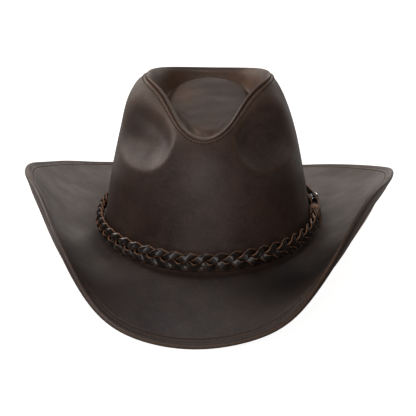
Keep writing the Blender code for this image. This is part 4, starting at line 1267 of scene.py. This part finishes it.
def studio_camera():
    back = direction(CAMERA_TURN - 90, CAMERA_HEIGHT_ANGLE)
    target = Vector((0, 0, CAMERA_TARGET_HEIGHT))
    side = Vector((0, 0, 1)).cross(back).normalized()
    up = back.cross(side)
    data = bpy.data.cameras.new("camera")
    data.lens = CAMERA_LENS
    data.sensor_width = 36
    data.clip_start = 0.01
    data.clip_end = 100
    camera = add_object("camera", data)
    aimed(camera, target + CAMERA_DISTANCE * back, target - CAMERA_AIM_BELOW * up)
    bpy.context.scene.camera = camera


def softbox(name, azimuth, elevation, size, power, colour):
    """Soft box facing the hat: angles in degrees, size as width and height."""
    data = bpy.data.lights.new(name, "AREA")
    data.shape = "RECTANGLE"
    data.size = size[0] * MM
    data.size_y = size[1] * MM
    data.energy = power
    data.color = colour
    aim = Vector((0, 0, LIGHT_AIM_HEIGHT))
    aimed(add_object(name, data), aim + LIGHT_DISTANCE * direction(azimuth, elevation), aim)


def studio():
    """Pale floor at the brim's lowest point, soft boxes round the hat, and the camera."""
    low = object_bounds()[0][2]
    mesh = bpy.data.meshes.new("floor")
    wide = FLOOR_HALF_WIDTH
    corners = ((-wide, -wide), (wide, -wide), (wide, wide), (-wide, wide))
    mesh.from_pydata([(x, y, low) for x, y in corners], [], [(0, 1, 2, 3)])
    mesh.materials.append(floor_finish())
    add_object("floor", mesh)
    softbox("left_back", 150, 34, (700, 700), 8.8, (1.0, 0.89, 0.82))
    softbox("front", 264, 28, (1900, 750), 9.0, (1.0, 0.95, 0.94))
    softbox("right_back", 58, 31, (600, 500), 2.2, (1.0, 0.92, 0.86))
    softbox("top", 90, 80, (700, 700), 3.3, (0.92, 0.96, 1.0))
    softbox("backdrop", 97, 14, (3100, 720), 8.0, (1.0, 0.90, 0.83))
    world = bpy.data.worlds.new("world")
    world.use_nodes = True
    background = world.node_tree.nodes["Background"]
    background.inputs["Color"].default_value = (1, 1, 1, 1)
    background.inputs["Strength"].default_value = ROOM_LIGHT
    bpy.context.scene.world = world
    bpy.context.scene.view_settings.view_transform = "Standard"
    studio_camera()


def main():
    crown_hide = oiled_leather("oiled_leather", (1.06, 0.97, 0.99))
    brim_hide = oiled_leather("oiled_leather_brim", (0.88, 0.925, 1.02))
    lace = braid_leather()
    thread = waxed_thread()
    sweat = sweat_leather()
    cloth = satin()
    chrome = metal("chrome", (0.80, 0.81, 0.83), 0.10)
    steel = metal("steel_wire", (0.45, 0.44, 0.42), 0.35)
    crown_wall(crown_hide)
    crown_tip(crown_hide)
    crown_stitching(thread)
    crown_inside(cloth, sweat)
    brim_leather(brim_hide)
    brim_layers(suede(), board(), steel)
    brim_stitching(thread)
    head_band(sweat, reed_plastic(), thread, cloth)
    braid(lace)
    keeper("loop_back", BRAID_START - 0.4, "band_keeper_back", lace)
    keeper("loop_front", BRAID_END + 0.4, "band_keeper_front", lace)
    closure(lace, chrome)
    studio()


main()
